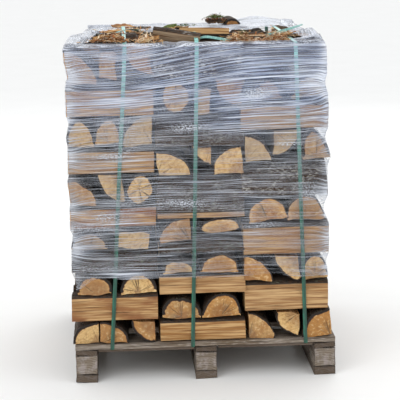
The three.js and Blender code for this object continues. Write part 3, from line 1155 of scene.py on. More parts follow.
def strand_heap(heap: Heap) -> Shell:
    """Scatters tapering, slightly bent strands in half of an ellipsoid.

    Point(s) = centre + s * length * direction + bend * (1 - (2s)^2) * side, with a diamond section
    whose width is (1 - 0.85 s'^2) of the strand's, s' running from its middle to either end.

    Args:
        heap: the heap's place, sizes and count.

    Returns:
        One shell with every strand closed.
    """
    rng = np.random.default_rng(heap.seed)
    n = heap.count
    spot = rng.normal(0.0, 0.42, (n, 3))
    spot[:, 2] = np.abs(spot[:, 2]) * np.exp(-(spot[:, :2] ** 2).sum(axis=1))
    middle = np.clip(np.array(heap.centre) + spot * heap.spread, HEAP_LOW, HEAP_HIGH)
    heading = rng.uniform(0, 2 * math.pi, n)
    climb = rng.normal(0.0, heap.climb, n)
    level = np.cos(climb)
    ahead = np.stack([np.cos(heading) * level, np.sin(heading) * level, np.sin(climb)], axis=1)
    side = np.cross(ahead, (0.0, 0.0, 1.0))
    side /= np.linalg.norm(side, axis=1)[:, None]
    rise = np.cross(side, ahead)
    length = heap.length * rng.uniform(0.45, 1.5, n)
    width = heap.width * rng.uniform(0.6, 1.6, n)
    bend = rng.normal(0.0, 0.14, n) * length
    rows = 4
    s = np.linspace(-0.5, 0.5, rows)
    taper = 1 - 0.85 * (2 * s) ** 2
    spine = (
        middle[:, None]
        + ahead[:, None] * (s[None, :] * length[:, None])[..., None]
        + side[:, None] * (bend[:, None] * (1 - (2 * s) ** 2))[..., None]
    )
    half = (width[:, None] * taper)[..., None, None]
    ring = np.array([[1.0, 0.0], [0.0, 0.45], [-1.0, 0.0], [0.0, -0.45]])
    frames = side[:, None, None] * ring[None, None, :, :1]
    frames = frames + rise[:, None, None] * ring[None, None, :, 1:]
    points = spine[:, :, None] + frames * half * 0.5
    far_end = np.array([[0, 1, 2, 3]]) + (rows - 1) * 4
    strand = np.concatenate([tube_quads(rows, 4), [[3, 2, 1, 0]], far_end])
    quads = (strand[None] + np.arange(n)[:, None, None] * rows * 4).reshape(-1, 4)
    shade = rng.uniform(*heap.shades, n)
    tone = np.zeros((n, rows * 4, 4))
    tone[..., 0] = shade[:, None]
    tone[..., 3] = 1.0
    flat_points = points.reshape(-1, 3)
    slots = np.zeros(len(quads), dtype=int)
    return Shell(flat_points, quads, slots, flat_points.copy(), tone.reshape(-1, 4))


def ribbon(path: Array, lateral: Array, width: float, thickness: float, closed: bool) -> Shell:
    """Carries a flat section with soft edges along a path.

    Args:
        path: points along its middle, shape (n, 3).
        lateral: direction of its width at each point, shape (n, 3).
        width: width of the band.
        thickness: thickness of the band.
        closed: whether the last point joins the first.

    Returns:
        The closed shell; grain is across, 0, along.
    """
    before, after = np.roll(path, 1, axis=0), np.roll(path, -1, axis=0)
    if not closed:
        before[0], after[-1] = path[0], path[-1]
    ahead = after - before
    ahead /= np.linalg.norm(ahead, axis=1)[:, None]
    lateral = lateral - (lateral * ahead).sum(axis=1)[:, None] * ahead
    lateral /= np.linalg.norm(lateral, axis=1)[:, None]
    out = np.cross(lateral, ahead)
    sideways = np.array([-0.5, -0.46, 0.46, 0.5, 0.5, 0.46, -0.46, -0.5]) * width
    depth = np.array([0.6, 1.0, 1.0, 0.6, -0.6, -1.0, -1.0, -0.6]) * thickness / 2
    rings = path[:, None] + lateral[:, None] * sideways[:, None] + out[:, None] * depth[:, None]
    rows = len(path)
    quads = tube_quads(rows, 8)
    here = np.arange(8)
    last = (rows - 1) * 8
    if closed:
        joint = np.stack([last + here, last + (here + 1) % 8, (here + 1) % 8, here], axis=-1)
    else:
        cap = np.array([[3, 2, 1, 0], [4, 3, 0, 7], [4, 7, 6, 5]])
        joint = np.concatenate([cap, cap[:, ::-1] + last])
    way = np.concatenate([[0.0], np.cumsum(np.linalg.norm(np.diff(path, axis=0), axis=1))])
    grain = np.stack([np.tile(sideways, rows), np.zeros(rows * 8), np.repeat(way, 8)], axis=1)
    quads = np.concatenate([quads, joint])
    points = rings.reshape(-1, 3)
    tone = np.zeros((rows * 8, 4))
    # Tone r rises with height from the film's lower edge.
    tone[:, 0] = np.clip((points[:, 2] - 0.42) / 0.78, 0, 1) ** 2.6 * 0.9
    return Shell(points, quads, np.zeros(len(quads)), grain, tone)


# ---------------------------------------------------------------- logs


ROWS = ("front", "centre", "back")
FEET = ("left", "middle", "right")

# Course heights from the deck up, in millimetres, for the left, middle and right front column.
COURSES = (
    (87, 105, 91, 85, 79, 89, 122, 102, 119, 113, 137),
    (89, 96, 81, 83, 62, 72, 161, 113, 116, 138, 126),
    (107, 118, 101, 136, 97, 131, 121, 111, 93, 107),
)

# Each course's logs from left to right, or from front to back where they lie along X.  A word is
# the cut and its share of the width in hundredths, then /height, ^lift and ~roll in degrees where
# they differ from the full course; "--" is an empty stretch.
FAN = "ql31/97 qr36/95 --02 hl29/98"
SLABS = "sl34/96 hf35 sl31"
NEST = "qr32/97 hl31/86^8~-6 --01 ql36/99"
PAIR = "hf52/95 sl48"
BOTTOM = ((FAN, SLABS, NEST), (SLABS, PAIR, FAN), (PAIR, NEST, PAIR))
FRONT_LEFT = (
    "sl36~1 hf33 sl31",
    "--07 hf41/86 --09 hf43/94~4",
    "ql36 sl32 qr32",
    "--02 hf43/90 --09 sl40/93~-4",
    "sl38/96~-1 hf31 sl31",
    "qr34/82 hl31/94^6 --01 rd34/97",
    "sl35/97 sl33 hf32",
    "hf32/88 hf31/84^8 ql37/98",
    "sl36/98~1 hf33 sl31",
    "qr38/96 --02 sl21/80^14 --08 hl31/74^20",
)
FRONT_MIDDLE = (
    "--03 hf46/82 hf46/97",
    "sl36/98 hf33 sl31",
    "--04 hf38/66 --06 hf45/92",
    "ql36/78 hf33 sl31",
    "ql38/128^-30 --10 ln47/78^16",
    "hf42/97 sl30 sl28",
    "qr40/84 hl23/62^34 ql36/96~3",
    "ql36/96 hf33 sl31",
    "--05 rd37/96 --04 sl18/80~5 --03 hl32/76^20",
    "ql38/94 hf31 sl31",
)
FRONT_RIGHT = (
    "sl40~-1 hf30 sl30",
    "qr36/98 hl31/98 --02 hf31/94^4",
    "sl36/96~3 hf33 sl31",
    "--04 hf47/94~5 hf44/98",
    "ql40/98 hf32 sl28",
    "qr33/88 hr33/82^16 hf34/94^4",
    "sl38/97 hf31 sl31",
    "--10 hf36/84 --10 hf43/96^2",
    "ql38/96 hf31 sl31",
)
HIDDEN_MIXES = (
    "ql34/94 hf32/86 hr33/92",
    "hf48/92~-4 --04 hf47/98",
    "qr35/96 hl30/88^8 --03 ql31/90",
    "sl31/90 rd33/95 hf33/84~5",
    "hf34/97 sl29/86 --04 ql32/98",
    "rd35/98 hl29/90^6 ql33/96",
    "ql45/96 --05 qr47/94",
    "sl44/92~3 --06 hf48/97",
    "--04 hf28/80 qr32/98 ql34/92",
)


# How a word of a course list is written.
COURSE_WORD = re.compile(r"(..)(\d+)(?:/(\d+))?(?:\^(-?\d+))?(?:~(-?\d+))?")

# How far the right-hand courses stand in from the pallet's line: height in metres, way in metres.
RIGHT_LEAN = (
    (0.40, 0.010),
    (0.46, 0.018),
    (0.55, 0.009),
    (0.64, 0.012),
    (0.86, 0.012),
    (0.94, 0.0),
    (1.01, 0.012),
    (1.09, 0.005),
    (1.16, 0.017),
    (1.27, 0.015),
)


def right_lean(height: Array | float) -> Array | float:
    """How far in the right side stands at a height, between the listed heights in a straight line."""
    heights, ways = np.array(RIGHT_LEAN).T
    return np.interp(height, heights, ways)


@dataclass
class Cribs:
    """Nine columns of cross-laid logs, three by three, each log a swept split section."""

    deck: float
    pitch: tuple[float, float]
    log_length: tuple[float, float]
    across: float = 322 * MM
    gap: float = 2.0 * MM
    short_at_back: Triple = (0.0, 46 * MM, 88 * MM)
    finishes: list[bpy.types.Material] = field(default_factory=list)
    made: int = 0
    cloud: list[Array] = field(default_factory=list)

    def heights(self, i: int, j: int) -> list[int]:
        """Course heights of one column: the front ones, taken over and turned about behind."""
        courses = list(COURSES[(i + j) % 3])
        return courses if j % 2 == 0 else [courses[0], *courses[:0:-1]]

    def mix(self, i: int, j: int, course: int) -> str:
        """The course's logs: listed at the bottom and in front, drawn from the mixes elsewhere.

        Args:
            i: column along X.
            j: column along Y.
            course: number of the course, from the deck up.

        Returns:
            The words of the course.
        """
        if course == 0:
            return BOTTOM[j][i]
        if j == 0:
            return (FRONT_LEFT, FRONT_MIDDLE, FRONT_RIGHT)[i][course - 1]
        return HIDDEN_MIXES[(3 * i + 5 * j + 7 * course + i * j) % len(HIDDEN_MIXES)]

    def seats(self, i: int, j: int) -> list[tuple[int, Seat]]:
        """Works out where every log of a column lies.

        Args:
            i: column along X, 0 to 2.
            j: column along Y, 0 to 2.

        Returns:
            Course number and seat of each log, from the deck up.
        """
        outer = i != 1 or j != 1
        floor = self.deck
        found = []
        heights = self.heights(i, j)
        for course, height_mm in enumerate(heights):
            along_x = (i + j + course) % 2 == 1
            # The middle rows stand closer, so that no light comes through the load.
            across = self.across + (9 * MM if (j if along_x else i) == 1 else 0.0)
            start = -across / 2
            lean = float(right_lean(floor + height_mm * MM / 2)) if i == 2 and course else 0.0
            shortened = i == 0 and along_x and course == len(heights) - 1
            short = self.short_at_back[j] if shortened else 0.0
            for word in self.mix(i, j, course).split():
                cut, *numbers = COURSE_WORD.match(word).groups()
                share, tall, lift, roll = (int(n or d) for n, d in zip(numbers, (0, 100, 0, 0)))
                width = across * share / 100
                start += width
                if cut == "--":
                    continue
                rng = np.random.default_rng(self.made + 40)
                weather = (0.2 if j == 0 and course < 4 else 0.75) * rng.random() ** 2
                inward = -np.sign((i if along_x else j) - 1) or rng.choice([-1.0, 1.0])
                length = self.log_length[0 if along_x else 1]
                length = length - 3 * MM - 8 * MM * rng.random() - short
                tip = inward * (1.5 + 5 * rng.random()) * MM + short / 2
                if inner_row := (i if along_x else j) == 1:
                    length += 7 * MM
                seat = Seat(
                    centre=((i - 1) * self.pitch[0] - lean, (j - 1) * self.pitch[1]),
                    floor=floor + 0.4 * MM + height_mm * MM * lift / 100,
                    start=start - width,
                    along_x=along_x,
                    width=width - self.gap,
                    height=height_mm * MM * tall / 100 - 0.8 * MM,
                    length=length,
                    cut=Cut(cut),
                    index=self.made,
                    around=(56 if j == 0 else 42) if outer else 24,
                    rings=(26 if j == 0 else 15) if outer else 6,
                    tone=(rng.random(), weather),
                    tip=0.0 if inner_row else tip,
                    roll=math.radians(roll) + rng.normal(0.0, 0.03),
                )
                found.append((course, seat))
                self.made += 1
            floor += height_mm * MM
        return found

    def build(self) -> list[bpy.types.Object]:
        """Makes the bottom course log by log and the courses above as one piece to a column.

        Returns:
            The pieces, bottom logs before their column.
        """
        pieces = []
        for j in range(3):
            for i in range(3):
                cell = f"{ROWS[j]}_{FEET[i]}"
                crib = Assembly(f"crib_{cell}", self.finishes)
                low = 0
                for course, seat in self.seats(i, j):
                    shell = swept_piece(seat, Relief())
                    self.cloud.append(shell.points)
                    if course:
                        crib.add(shell)
                        continue
                    low += 1
                    single = Assembly(f"split_{cell}_{low}", self.finishes, [shell]).build()
                    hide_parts(f"log_{cell}_{low}")
                    pieces.append(single)
                piece = crib.build()
                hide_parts(f"stack_{cell}")
                pieces.append(piece)
        return pieces


# ---------------------------------------------------------------- pallet


@dataclass
class Pallet:
    """Block pallet: deck boards over stringers, blocks and runners, with open joints between."""

    finishes: list[bpy.types.Material]
    around: int = 36
    joint: float = 0.7 * MM
    # Height of the dark lath under the front and back deck boards, a painted shadow.
    shadow_lath: float = 11 * MM
    relief: Relief = Relief(1.0 * MM, 0.7 * MM, 0.0, 1.2 * MM, 0.0, 0.012, 5 * MM, True)
    # How dark each kind of timber is painted, and how far its ends are set in, in millimetres: the runners
    # are darker wood; the stringers' darkness is partly painted shade under the deck boards.
    shades: ClassVar[dict[str, tuple[float, float]]] = {
        "deck_board": (0.0, 0.0),
        "stringer": (0.85, 3.0),
        "block": (0.0, 5.0),
        "runner": (0.75, 1.0),
    }

    def timber(self, node: str, along_x: bool, index: int) -> bpy.types.Object:
        """Makes one board or block in its node's box, with its grain along X or Y.

        Args:
            node: the frame's node that it replaces.
            along_x: whether its grain runs along X.
            index: its number, which sets its own grain.

        Returns:
            The piece.
        """
        low, high = (np.array(corner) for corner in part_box(node))
        rng = np.random.default_rng(700 + index)
        kind = next(k for k in self.shades if node.startswith(k))
        dark, set_in = self.shades[kind]
        tone = (0.2 * rng.random() + dark, 0.0)
        shells = [self.board(low, high, along_x, index, tone, 2 * set_in * MM)]
        # Painted shadow: a dark lath, toned darkest, stands under the front and back deck boards between
        # the feet, where there is only shade.
        if node in ("deck_board_1", "deck_board_5"):
            inward = 1 if node.endswith("1") else -1
            for span in range(2):
                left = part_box(f"stringer_{FEET[span]}")[1][0] + 4 * MM
                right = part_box(f"stringer_{FEET[span + 1]}")[0][0] - 4 * MM
                edge = sorted([low[1] if inward > 0 else high[1], 0.0], key=abs)[1] + inward * 9 * MM
                ends = sorted([edge, edge + inward * 46 * MM])
                corner = np.array([left, ends[0], low[2] - self.shadow_lath])
                opposite = np.array([right, ends[1], low[2] - 0.4 * MM])
                shells.append(self.board(corner, opposite, True, 60 + index * 3 + span, (1.0, 0.0), 0.0))
        piece = Assembly(node + "_timber", self.finishes, shells).build()
        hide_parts(node)
        return piece

    def board(
        self,
        low: Array,
        high: Array,
        along_x: bool,
        index: int,
        tone: tuple[float, float],
        set_in: float,
    ) -> Shell:
        """Makes one sawn timber.

        Args:
            low: its lowest corner.
            high: the opposite corner.
            along_x: whether its grain runs along X.
            index: its number, which sets its own grain.
            tone: how dark it is, and how weathered.
            set_in: how much shorter it is than the corners, half of it at each end.

        Returns:
            The closed shell.
        """
        size = high - low
        centre = (low + high) / 2
        width = size[1] if along_x else size[0]
        length = size[0] if along_x else size[1]
        seat = Seat(
            centre=(centre[0], centre[1]),
            floor=low[2] + self.joint,
            start=-width / 2 + self.joint,
            along_x=along_x,
            width=width - 2 * self.joint,
            height=size[2] - 2 * self.joint,
            length=length - set_in - 2 * self.joint,
            cut=Cut.BOARD,
            index=400 + index,
            around=self.around,
            rings=max(6, round(length / 0.03)),
            tone=tone,
        )
        return swept_piece(seat, self.relief)

    def build(self) -> list[bpy.types.Object]:
        """Makes every board, block and runner in the frame's places.

        Returns:
            The pieces.
        """
        names = [(name, name.startswith("deck_board")) for name in sorted(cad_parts)]
        wanted = [n for n in names if n[0].startswith(tuple(self.shades))]
        return [self.timber(name, along_x, index) for index, (name, along_x) in enumerate(wanted)]


# ---------------------------------------------------------------- straps


@dataclass
class Straps:
    """Three polyester bands round the load and under the deck."""

    finish: bpy.types.Material
    thickness: float = 0.9 * MM
    trim: float = 1.0 * MM
    steps: int = 260
    # Rise, middle and reach of the litter under the left, middle and right band.
    lifts: ClassVar[tuple[Triple, ...]] = ((0.020, -0.05, 0.40), (0.036, -0.25, 0.24), (0.006, 0.0, 0.3))

    def band(self, node: str, rise: float, middle: float, reach: float) -> bpy.types.Object:
        """Makes one closed band in its node's box, lifted on top by the litter it runs over.

        The loop in Y and Z is the frame's: deck edge, log ends, top.  Its place along X goes
        straight from the deck's edge to the top of the load, with a slight wave.  On top it is
        lifted by rise * exp(-((y - middle) / reach)^4).

        Args:
            node: the node that it replaces.
            rise: how far the litter lifts it.
            middle: where along Y it is lifted most.
            reach: half the length that is lifted.

        Returns:
            The piece.
        """
        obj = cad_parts[node]
        co = np.empty(len(obj.data.vertices) * 3)
        obj.data.vertices.foreach_get("co", co)
        co = co.reshape(-1, 3)
        low, high = co.min(axis=0), co.max(axis=0)
        bottom_x = co[co[:, 2] < low[2] + 1 * MM, 0].mean()
        top_x = co[co[:, 2] > high[2] - 1 * MM, 0].mean()
        width = np.ptp(co[co[:, 2] < low[2] + 1 * MM, 0])
        deck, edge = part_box("deck_board_1")[1][2], high[1]
        face = np.abs(co[(co[:, 2] > 0.5), 1]).max()
        t = self.thickness / 2
        half_loop = [
            (0.0, low[2] + t),
            (edge - 4 * MM, low[2] + t),
            (edge - t, low[2] + 4 * MM),
            (edge - t, deck - 2 * MM),
            (face - t + 1 * MM, deck + 22 * MM),
            (face - t, deck + 40 * MM),
            (face - t, high[2] - 12 * MM),
            (face - 3 * MM, high[2] - 3.5 * MM),
            (face - 12 * MM, high[2] - t),
            (0.0, high[2] - t),
        ]
        loop = np.array(half_loop + [(-y, z) for y, z in half_loop[-2:0:-1]] + [half_loop[0]])
        at = np.concatenate([[0.0], np.cumsum(np.linalg.norm(np.diff(loop, axis=0), axis=1))])
        # Even steps plus the loop's own corners.
        where = np.unique(np.concatenate([np.linspace(0, at[-1], self.steps), at]))[:-1]
        y, z = (np.interp(where, at, loop[:, axis]) for axis in (0, 1))
        x = bottom_x + (top_x - bottom_x) * (z - low[2]) / (high[2] - low[2])
        x = x + 1.6 * MM * plane_noise(where, np.full_like(where, bottom_x * 9), (0.35, 1.0), 5)
        over = np.clip((z - high[2] + 3 * MM) / (3 * MM), 0, 1)
        z = z + over * rise * np.exp(-(((y - middle) / reach) ** 4))
        path = np.stack([x, y, z], axis=1)
        lateral = np.tile([1.0, 0.0, 0.0], (len(path), 1))
        shell = ribbon(path, lateral, width - self.trim, self.thickness, True)
        piece = Assembly(node.replace("strap", "polyester_band"), [self.finish], [shell]).build()
        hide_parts(node)
        return piece

    def build(self) -> list[bpy.types.Object]:
        """Makes the three bands."""
        return [self.band(f"strap_{place}", *lift) for place, lift in zip(FEET, self.lifts)]


# ---------------------------------------------------------------- stretch film


@dataclass
class FilmSleeve:
    """Stretch film drawn round the load, pulled to the log tips and folded in over the top."""

    finish: bpy.types.Material
    load: Array
    strap_face: float
    bottom: float = 403 * MM
    deepest: float = 92 * MM
    # How far the sheet stands off the outermost logs, and how fast it falls away from one: from
    # column to column along its pull, and per metre of height.
    stand_off: float = 3.2 * MM
    fall_along: float = 0.7 * MM
    fall_across: float = 0.42
    strap_places: Triple = (-0.31, -0.02, 0.375)
    # Shares of the way round at the middle of the front and at the four corners.
    front: float = 0.75
    corners: tuple[float, float, float, float] = (0.125, 0.375, 0.625, 0.875)
    # White crinkled bursts on the front: along X, height, half length, half height.
    bursts: ClassVar[tuple[tuple[float, float, float, float], ...]] = (
        (-0.06, 0.69, 0.10, 0.020),
        (0.21, 1.10, 0.05, 0.020),
        (-0.33, 0.875, 0.07, 0.016),
        (-0.36, 0.645, 0.05, 0.014),
        (0.33, 0.905, 0.05, 0.012),
        (-0.05, 0.98, 0.06, 0.02),
    )
    # Wider stretches of the flap on top: millimetres, share of the way round, half length as a
    # share of it: the back, the left side and both halves of the right side.
    flaps: ClassVar[tuple[Triple, ...]] = (
        (420, 0.25, 0.11),
        (75, 0.5, 0.11),
        (70, 0.97, 0.1),
        (40, 0.03, 0.06),
    )
    rows: int = 240
    columns: int = 352
    corner: float = 12 * MM
    fold_rows: int = 30

    def build(self) -> bpy.types.Object:
        """Makes the sleeve as one sheet on a grid of height by way round.

        Point(a, q) = rounded rectangle(a) pushed out by the reach of the log tips at that height
        and by level wrinkles; above the shoulder, the sheet turns in over the load.

        Returns:
            The sleeve.
        """
        low, high = (np.array(corner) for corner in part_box("stretch_film"))
        half_x = (high[0] - low[0]) / 2 - 3 * MM
        half_y = (high[1] - low[1]) / 2 - 2 * MM
        top = high[2]
        a, x0, y0, nx, ny, total = self.way_round(half_x, half_y)
        flat = np.zeros(1)
        side_rows = self.rows - self.fold_rows
        q = np.linspace(0.0, 1.0, side_rows)[:, None]
        edge = self.bottom + 13 * MM * plane_noise(a, flat, (0.13, 1.0), 3)
        edge = edge - 34 * MM * np.exp(-(((a - total * self.corners[2]) / 0.07) ** 2))
        shoulder = top - 9 * MM + 4 * MM * plane_noise(a, flat, (0.1, 1.0), 8)
        z = edge + (shoulder - edge) * q
        crumple = plane_noise(a, z, (0.30, 0.011), 21) + 0.6 * plane_noise(a, z, (0.16, 0.006), 22)
        slant = plane_noise(a, z - 0.12 * a, (0.5, 0.02), 24)
        push = (0.8 * crumple + 0.6 * slant) * MM
        sunk_x, sunk_y = self.drape(z, (half_x, half_y), (x0, y0), (nx, ny))
        x = x0 + nx * push + sunk_x
        y = y0 + ny * push + sunk_y
        fold = np.linspace(0.0, 1.0, self.fold_rows + 1)[1:, None] ** 1.3
        lip = self.lip(a, total)
        inward = lip * fold
        turn = np.minimum(inward / (12 * MM), 1.0)
        rise = (top - shoulder) * np.sin(turn * math.pi / 2)
        loose = np.minimum(inward / 0.04, 1.0)
        ruffle = plane_noise(a, inward, (0.07, 0.05), 31) * 6 * MM * loose
        ruffle = ruffle + plane_noise(a, inward, (0.03, 0.02), 32) * 3 * MM * loose
        fx = x[-1:] - nx * inward
        fy = y[-1:] - ny * inward
        fz = shoulder + rise + np.abs(ruffle) + self.humps(fx, fy, inward)
        shape = (self.rows, self.columns)
        points = np.empty((*shape, 3))
        for axis, (side, over) in enumerate(((x, fx), (y, fy), (z, fz))):
            points[:side_rows, :, axis] = side
            points[side_rows:, :, axis] = over
        tones = self.looks(a, z, fx, fy, inward, total, ny)
        here = np.arange(self.columns)
        row = np.arange(self.rows - 1)[:, None] * self.columns
        after = (here + 1) % self.columns
        ahead = row + self.columns
        quads = np.stack([row + here, row + after, ahead + after, ahead + here], axis=-1).reshape(-1, 4)
        over = shoulder + inward + 0.02 * plane_noise(a, inward, (0.1, 0.1), 33)
        height = np.concatenate([self.fanned(a, z, total), over])
        grain = np.stack([np.broadcast_to(x0, shape), np.broadcast_to(y0, shape), height], axis=-1)
        tone = np.stack(tones, axis=-1).reshape(-1, 4)
        slots = np.zeros(len(quads), dtype=int)
        shell = Shell(points.reshape(-1, 3), quads, slots, grain.reshape(-1, 3), tone)
        piece = Assembly("film_sleeve", [self.finish], [shell], sharp_degrees=180.0).build()
        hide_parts("stretch_film")
        return piece

    def way_round(self, half_x: float, half_y: float) -> tuple[Array, Array, Array, Array, Array, float]:
        """Walks anticlockwise round a rectangle with round corners, from the middle of its right side.

        Args:
            half_x: half its size along X.
            half_y: half its size along Y.

        Returns:
            Way walked, place x and y and outward normal x and y of each column, and the way in all.
        """
        r = self.corner
        straight = [2 * (half_y - r), 2 * (half_x - r)] * 2
        bend = r * math.pi / 2
        total = sum(straight) + 4 * bend
        way = np.arange(self.columns) * total / self.columns
        # Start of each side along the way, when counted from the middle of the right side.
        counted = (way + straight[0] / 2) % total
        x, y, nx, ny = (np.zeros(self.columns) for _ in range(4))
        begin = 0.0
        for side in range(4):
            length = straight[side]
            angle = side * math.pi / 2
            out = np.array([math.cos(angle), math.sin(angle)])
            on = np.array([-math.sin(angle), math.cos(angle)])
            half_out, half_on = (half_x, half_y) if side % 2 == 0 else (half_y, half_x)
            flat = (counted >= begin) & (counted < begin + length)
            along = counted[flat] - begin - length / 2
            x[flat] = out[0] * half_out + on[0] * along
            y[flat] = out[1] * half_out + on[1] * along
            nx[flat], ny[flat] = out
            begin += length
            bent = (counted >= begin) & (counted < begin + bend)
            turned = angle + (counted[bent] - begin) / r
            hub = out * (half_out - r) + on * (half_on - r)
            nx[bent], ny[bent] = np.cos(turned), np.sin(turned)
            x[bent] = hub[0] + r * nx[bent]
            y[bent] = hub[1] + r * ny[bent]
            begin += bend
        return way, x, y, nx, ny, total

    def drape(
        self,
        z: Array,
        half: tuple[float, float],
        place: tuple[Array, Array],
        normal: tuple[Array, Array],
    ) -> tuple[Array, Array]:
        """Lets the film sink between the log tips that hold it out.

        Each cell of way round by height starts from its outermost log point.  The film there is
        the highest of its neighbours on the same side less a fall per metre, slight along the pull
        of the film and steep across it, then eased with its neighbours.  The next side takes over
        a side's value at the corner, as the eighth power of the way to it.

        Args:
            z: heights of the side rows.
            half: half the sleeve's size along X and Y.
            place: x and y of each column.
            normal: outward normal x and y of each column.

        Returns:
            How far each point moves along X and along Y.
        """
        levels = 118
        low, high = self.bottom - 0.03, float(z.max())
        cell = (high - low) / (levels - 1)
        level = np.round((self.load[:, 2] - low) / cell).astype(int)
        where = (z - low) / cell
        below = np.floor(where).astype(int).clip(0, levels - 2)
        share = where - below
        moved = [np.zeros(z.shape), np.zeros(z.shape)]
        for axis in (0, 1):
            for sign in (-1, 1):
                face = np.flatnonzero(sign * normal[axis] > 0.9)
                face = face[np.argsort(place[1 - axis][face])]
                along = place[1 - axis][face]
                out = np.full((levels, len(face)), -self.deepest)
                proud = sign * self.load[:, axis] - half[axis]
                keep = (proud > -self.deepest) & (level >= 0) & (level < levels)
                nearest = np.searchsorted(along, self.load[keep, 1 - axis]).clip(0, len(face) - 1)
                np.maximum.at(out, (level[keep], nearest), proud[keep])
                if axis == 1:
                    # The straps hold the film off the front and back.
                    under = np.abs(along[:, None] - np.array(self.strap_places)).min(axis=1) < 0.02
                    out[:, under] = np.maximum(out[:, under], self.strap_face - half[axis])
                held = out.copy()
                for step in range(1, 15):
                    fall = step * self.fall_along
                    held[:, step:] = np.maximum(held[:, step:], out[:, :-step] - fall)
                    held[:, :-step] = np.maximum(held[:, :-step], out[:, step:] - fall)
                raised = held.copy()
                for step in range(1, 9):
                    fall = step * cell * self.fall_across
                    raised[step:] = np.maximum(raised[step:], held[:-step] - fall)
                    raised[:-step] = np.maximum(raised[:-step], held[step:] - fall)
                for _ in range(3):
                    raised[1:-1] = (raised[:-2] + 2 * raised[1:-1] + raised[2:]) / 4
                    raised[:, 1:-1] = (raised[:, :-2] + 2 * raised[:, 1:-1] + raised[:, 2:]) / 4
                raised = np.maximum(raised, held) + self.stand_off
                # Every column on this half takes the value of the nearest column of this face.
                mine = np.flatnonzero(sign * place[axis] > 0)
                source = np.searchsorted(along, place[1 - axis][mine]).clip(0, len(face) - 1)
                fade = (np.abs(place[axis][mine]) / half[axis]) ** 8
                values = raised[below[:, mine], source] * (1 - share[:, mine])
                values = values + raised[below[:, mine] + 1, source] * share[:, mine]
                moved[axis][:, mine] = sign * values * fade
        return moved[0], moved[1]

    def lip(self, a: Array, total: float) -> Array:
        """How far the film folds in over the top: short in front, wide at the back.

        The flap is 40 mm plus, for each listed stretch, width * exp(-((turn - middle) / reach)^4).

        Args:
            a: way round of each column.
            total: way round in all.

        Returns:
            The width of the flap at each column.
        """
        turn = a / total
        flap = 0.0
        for wide, middle, reach in self.flaps:
            flap = flap + wide * np.exp(-(((turn - middle) / reach) ** 4))
        return (40 + flap + 15 * plane_noise(a, np.zeros(1), (0.09, 1.0), 51)) * MM

    def humps(self, x: Array, y: Array, inward: Array) -> Array:
        """Where loose things or trapped air lift the folded film: back right and front right.

        Args:
            x: place along X.
            y: place along Y.
            inward: way in from the shoulder.

        Returns:
            How far each point is lifted.
        """
        back = 0.026 * np.exp(-(((x - 0.30) / 0.12) ** 2) - ((y - 0.40) / 0.16) ** 2)
        corner = 0.034 * np.exp(-(((x - 0.45) / 0.07) ** 2) - ((y + 0.34) / 0.10) ** 2)
        return (back + corner) * np.minimum(inward / 0.03, 1.0)

    def tips(self, total: float) -> list[tuple[float, float]]:
        """Way round and height of the log tips that the film is drawn out over.

        Args:
            total: way round in all.

        Returns:
            The tips, corner by corner.
        """
        heights = (
            (0.93, 0.58, 1.12),
            (0.86, 0.62, 1.14),
            (0.876, 0.68, 1.17, 0.52),
            (0.941, 1.115, 0.54, 0.72),
        )
        return [(share * total, z) for share, tips in zip(self.corners, heights) for z in tips]

    def fanned(self, a: Array, z: Array, total: float) -> Array:
        """Height as the wrinkles see it, so that they slope and fan out from the log tips.

        Near a tip, height = tip + (z - tip) * reach / (way from the tip + a little).

        Args:
            a: way round of each column.
            z: heights of the side rows.
            total: way round in all.

        Returns:
            The heights that the wrinkles follow.
        """
        height = z + 0.018 * plane_noise(a, z, (0.45, 0.25), 71)
        height = height + 0.004 * plane_noise(a, z, (0.16, 0.09), 72)
        rising = 1 / (1 + np.exp(-(z - 0.95) / 0.08))
        height = height - 0.045 * rising * np.sin(2 * math.pi * (a / total - self.front))
        for tip_a, tip_z in self.tips(total):
            away = np.abs((a - tip_a + total / 2) % total - total / 2)
            weight = 0.8 * np.exp(-(((z - tip_z) / 0.05) ** 2) - (away / 0.16) ** 2)
            spread = np.clip(0.15 / (away + 0.07), 0.95, 1.8)
            height = height + weight * (z - tip_z) * (spread - 1)
        return height

    def looks(
        self, a: Array, z: Array, fx: Array, fy: Array, inward: Array, total: float, ny: Array
    ) -> tuple[Array, Array, Array, Array]:
        """Milkiness, crinkled bursts, closeness of the wrinkles and blueness over the sheet.

        Args:
            a: way round of each column.
            z: heights of the side rows.
            fx: place of the folded rows along X.
            fy: place of the folded rows along Y.
            inward: way in from the shoulder over the fold.
            total: way round in all.
            ny: outward normal of each column along Y.

        Returns:
            Haze, crinkling, closeness and blueness, each for all rows.
        """
        upper = 1 / (1 + np.exp(-(z - 1.0) / 0.06))
        patches = 0.6 * plane_noise(a, z, (0.21, 0.085), 61) + 0.4 * plane_noise(a, z, (0.08, 0.035), 62)
        right = 0.5 + 0.5 * np.cos(2 * math.pi * (a / total - 0.86))
        haze = 0.02 + (0.05 + 0.28 * right) * upper + 0.15 * np.clip(patches, -0.3, 0.0)
        haze = haze + 0.3 * np.clip(patches, 0.0, 1.0) ** 1.3
        # Blueness, strongest high up towards the front right: partly the tint of many turns, partly a
        # painted sky reflection.
        blue = upper * (0.1 + 0.9 * right) + 0.35 * np.clip(patches, 0, 1)
        for corner in self.corners:
            haze = haze + 0.32 * np.exp(-(((a - corner * total) / 0.035) ** 2))
        haze = haze + 0.2 * np.exp(-((z.max() - z) / 0.009))
        hem = np.clip(plane_noise(a, z, (0.3, 0.2), 67) + 0.3, 0, 1)
        haze = haze + 0.10 * np.exp(-(((z - 0.42) / 0.05) ** 2)) * hem
        crinkle = np.clip(plane_noise(a, z, (0.17, 0.05), 68) - 0.5, 0, 1) * (0.9 - 0.5 * upper)
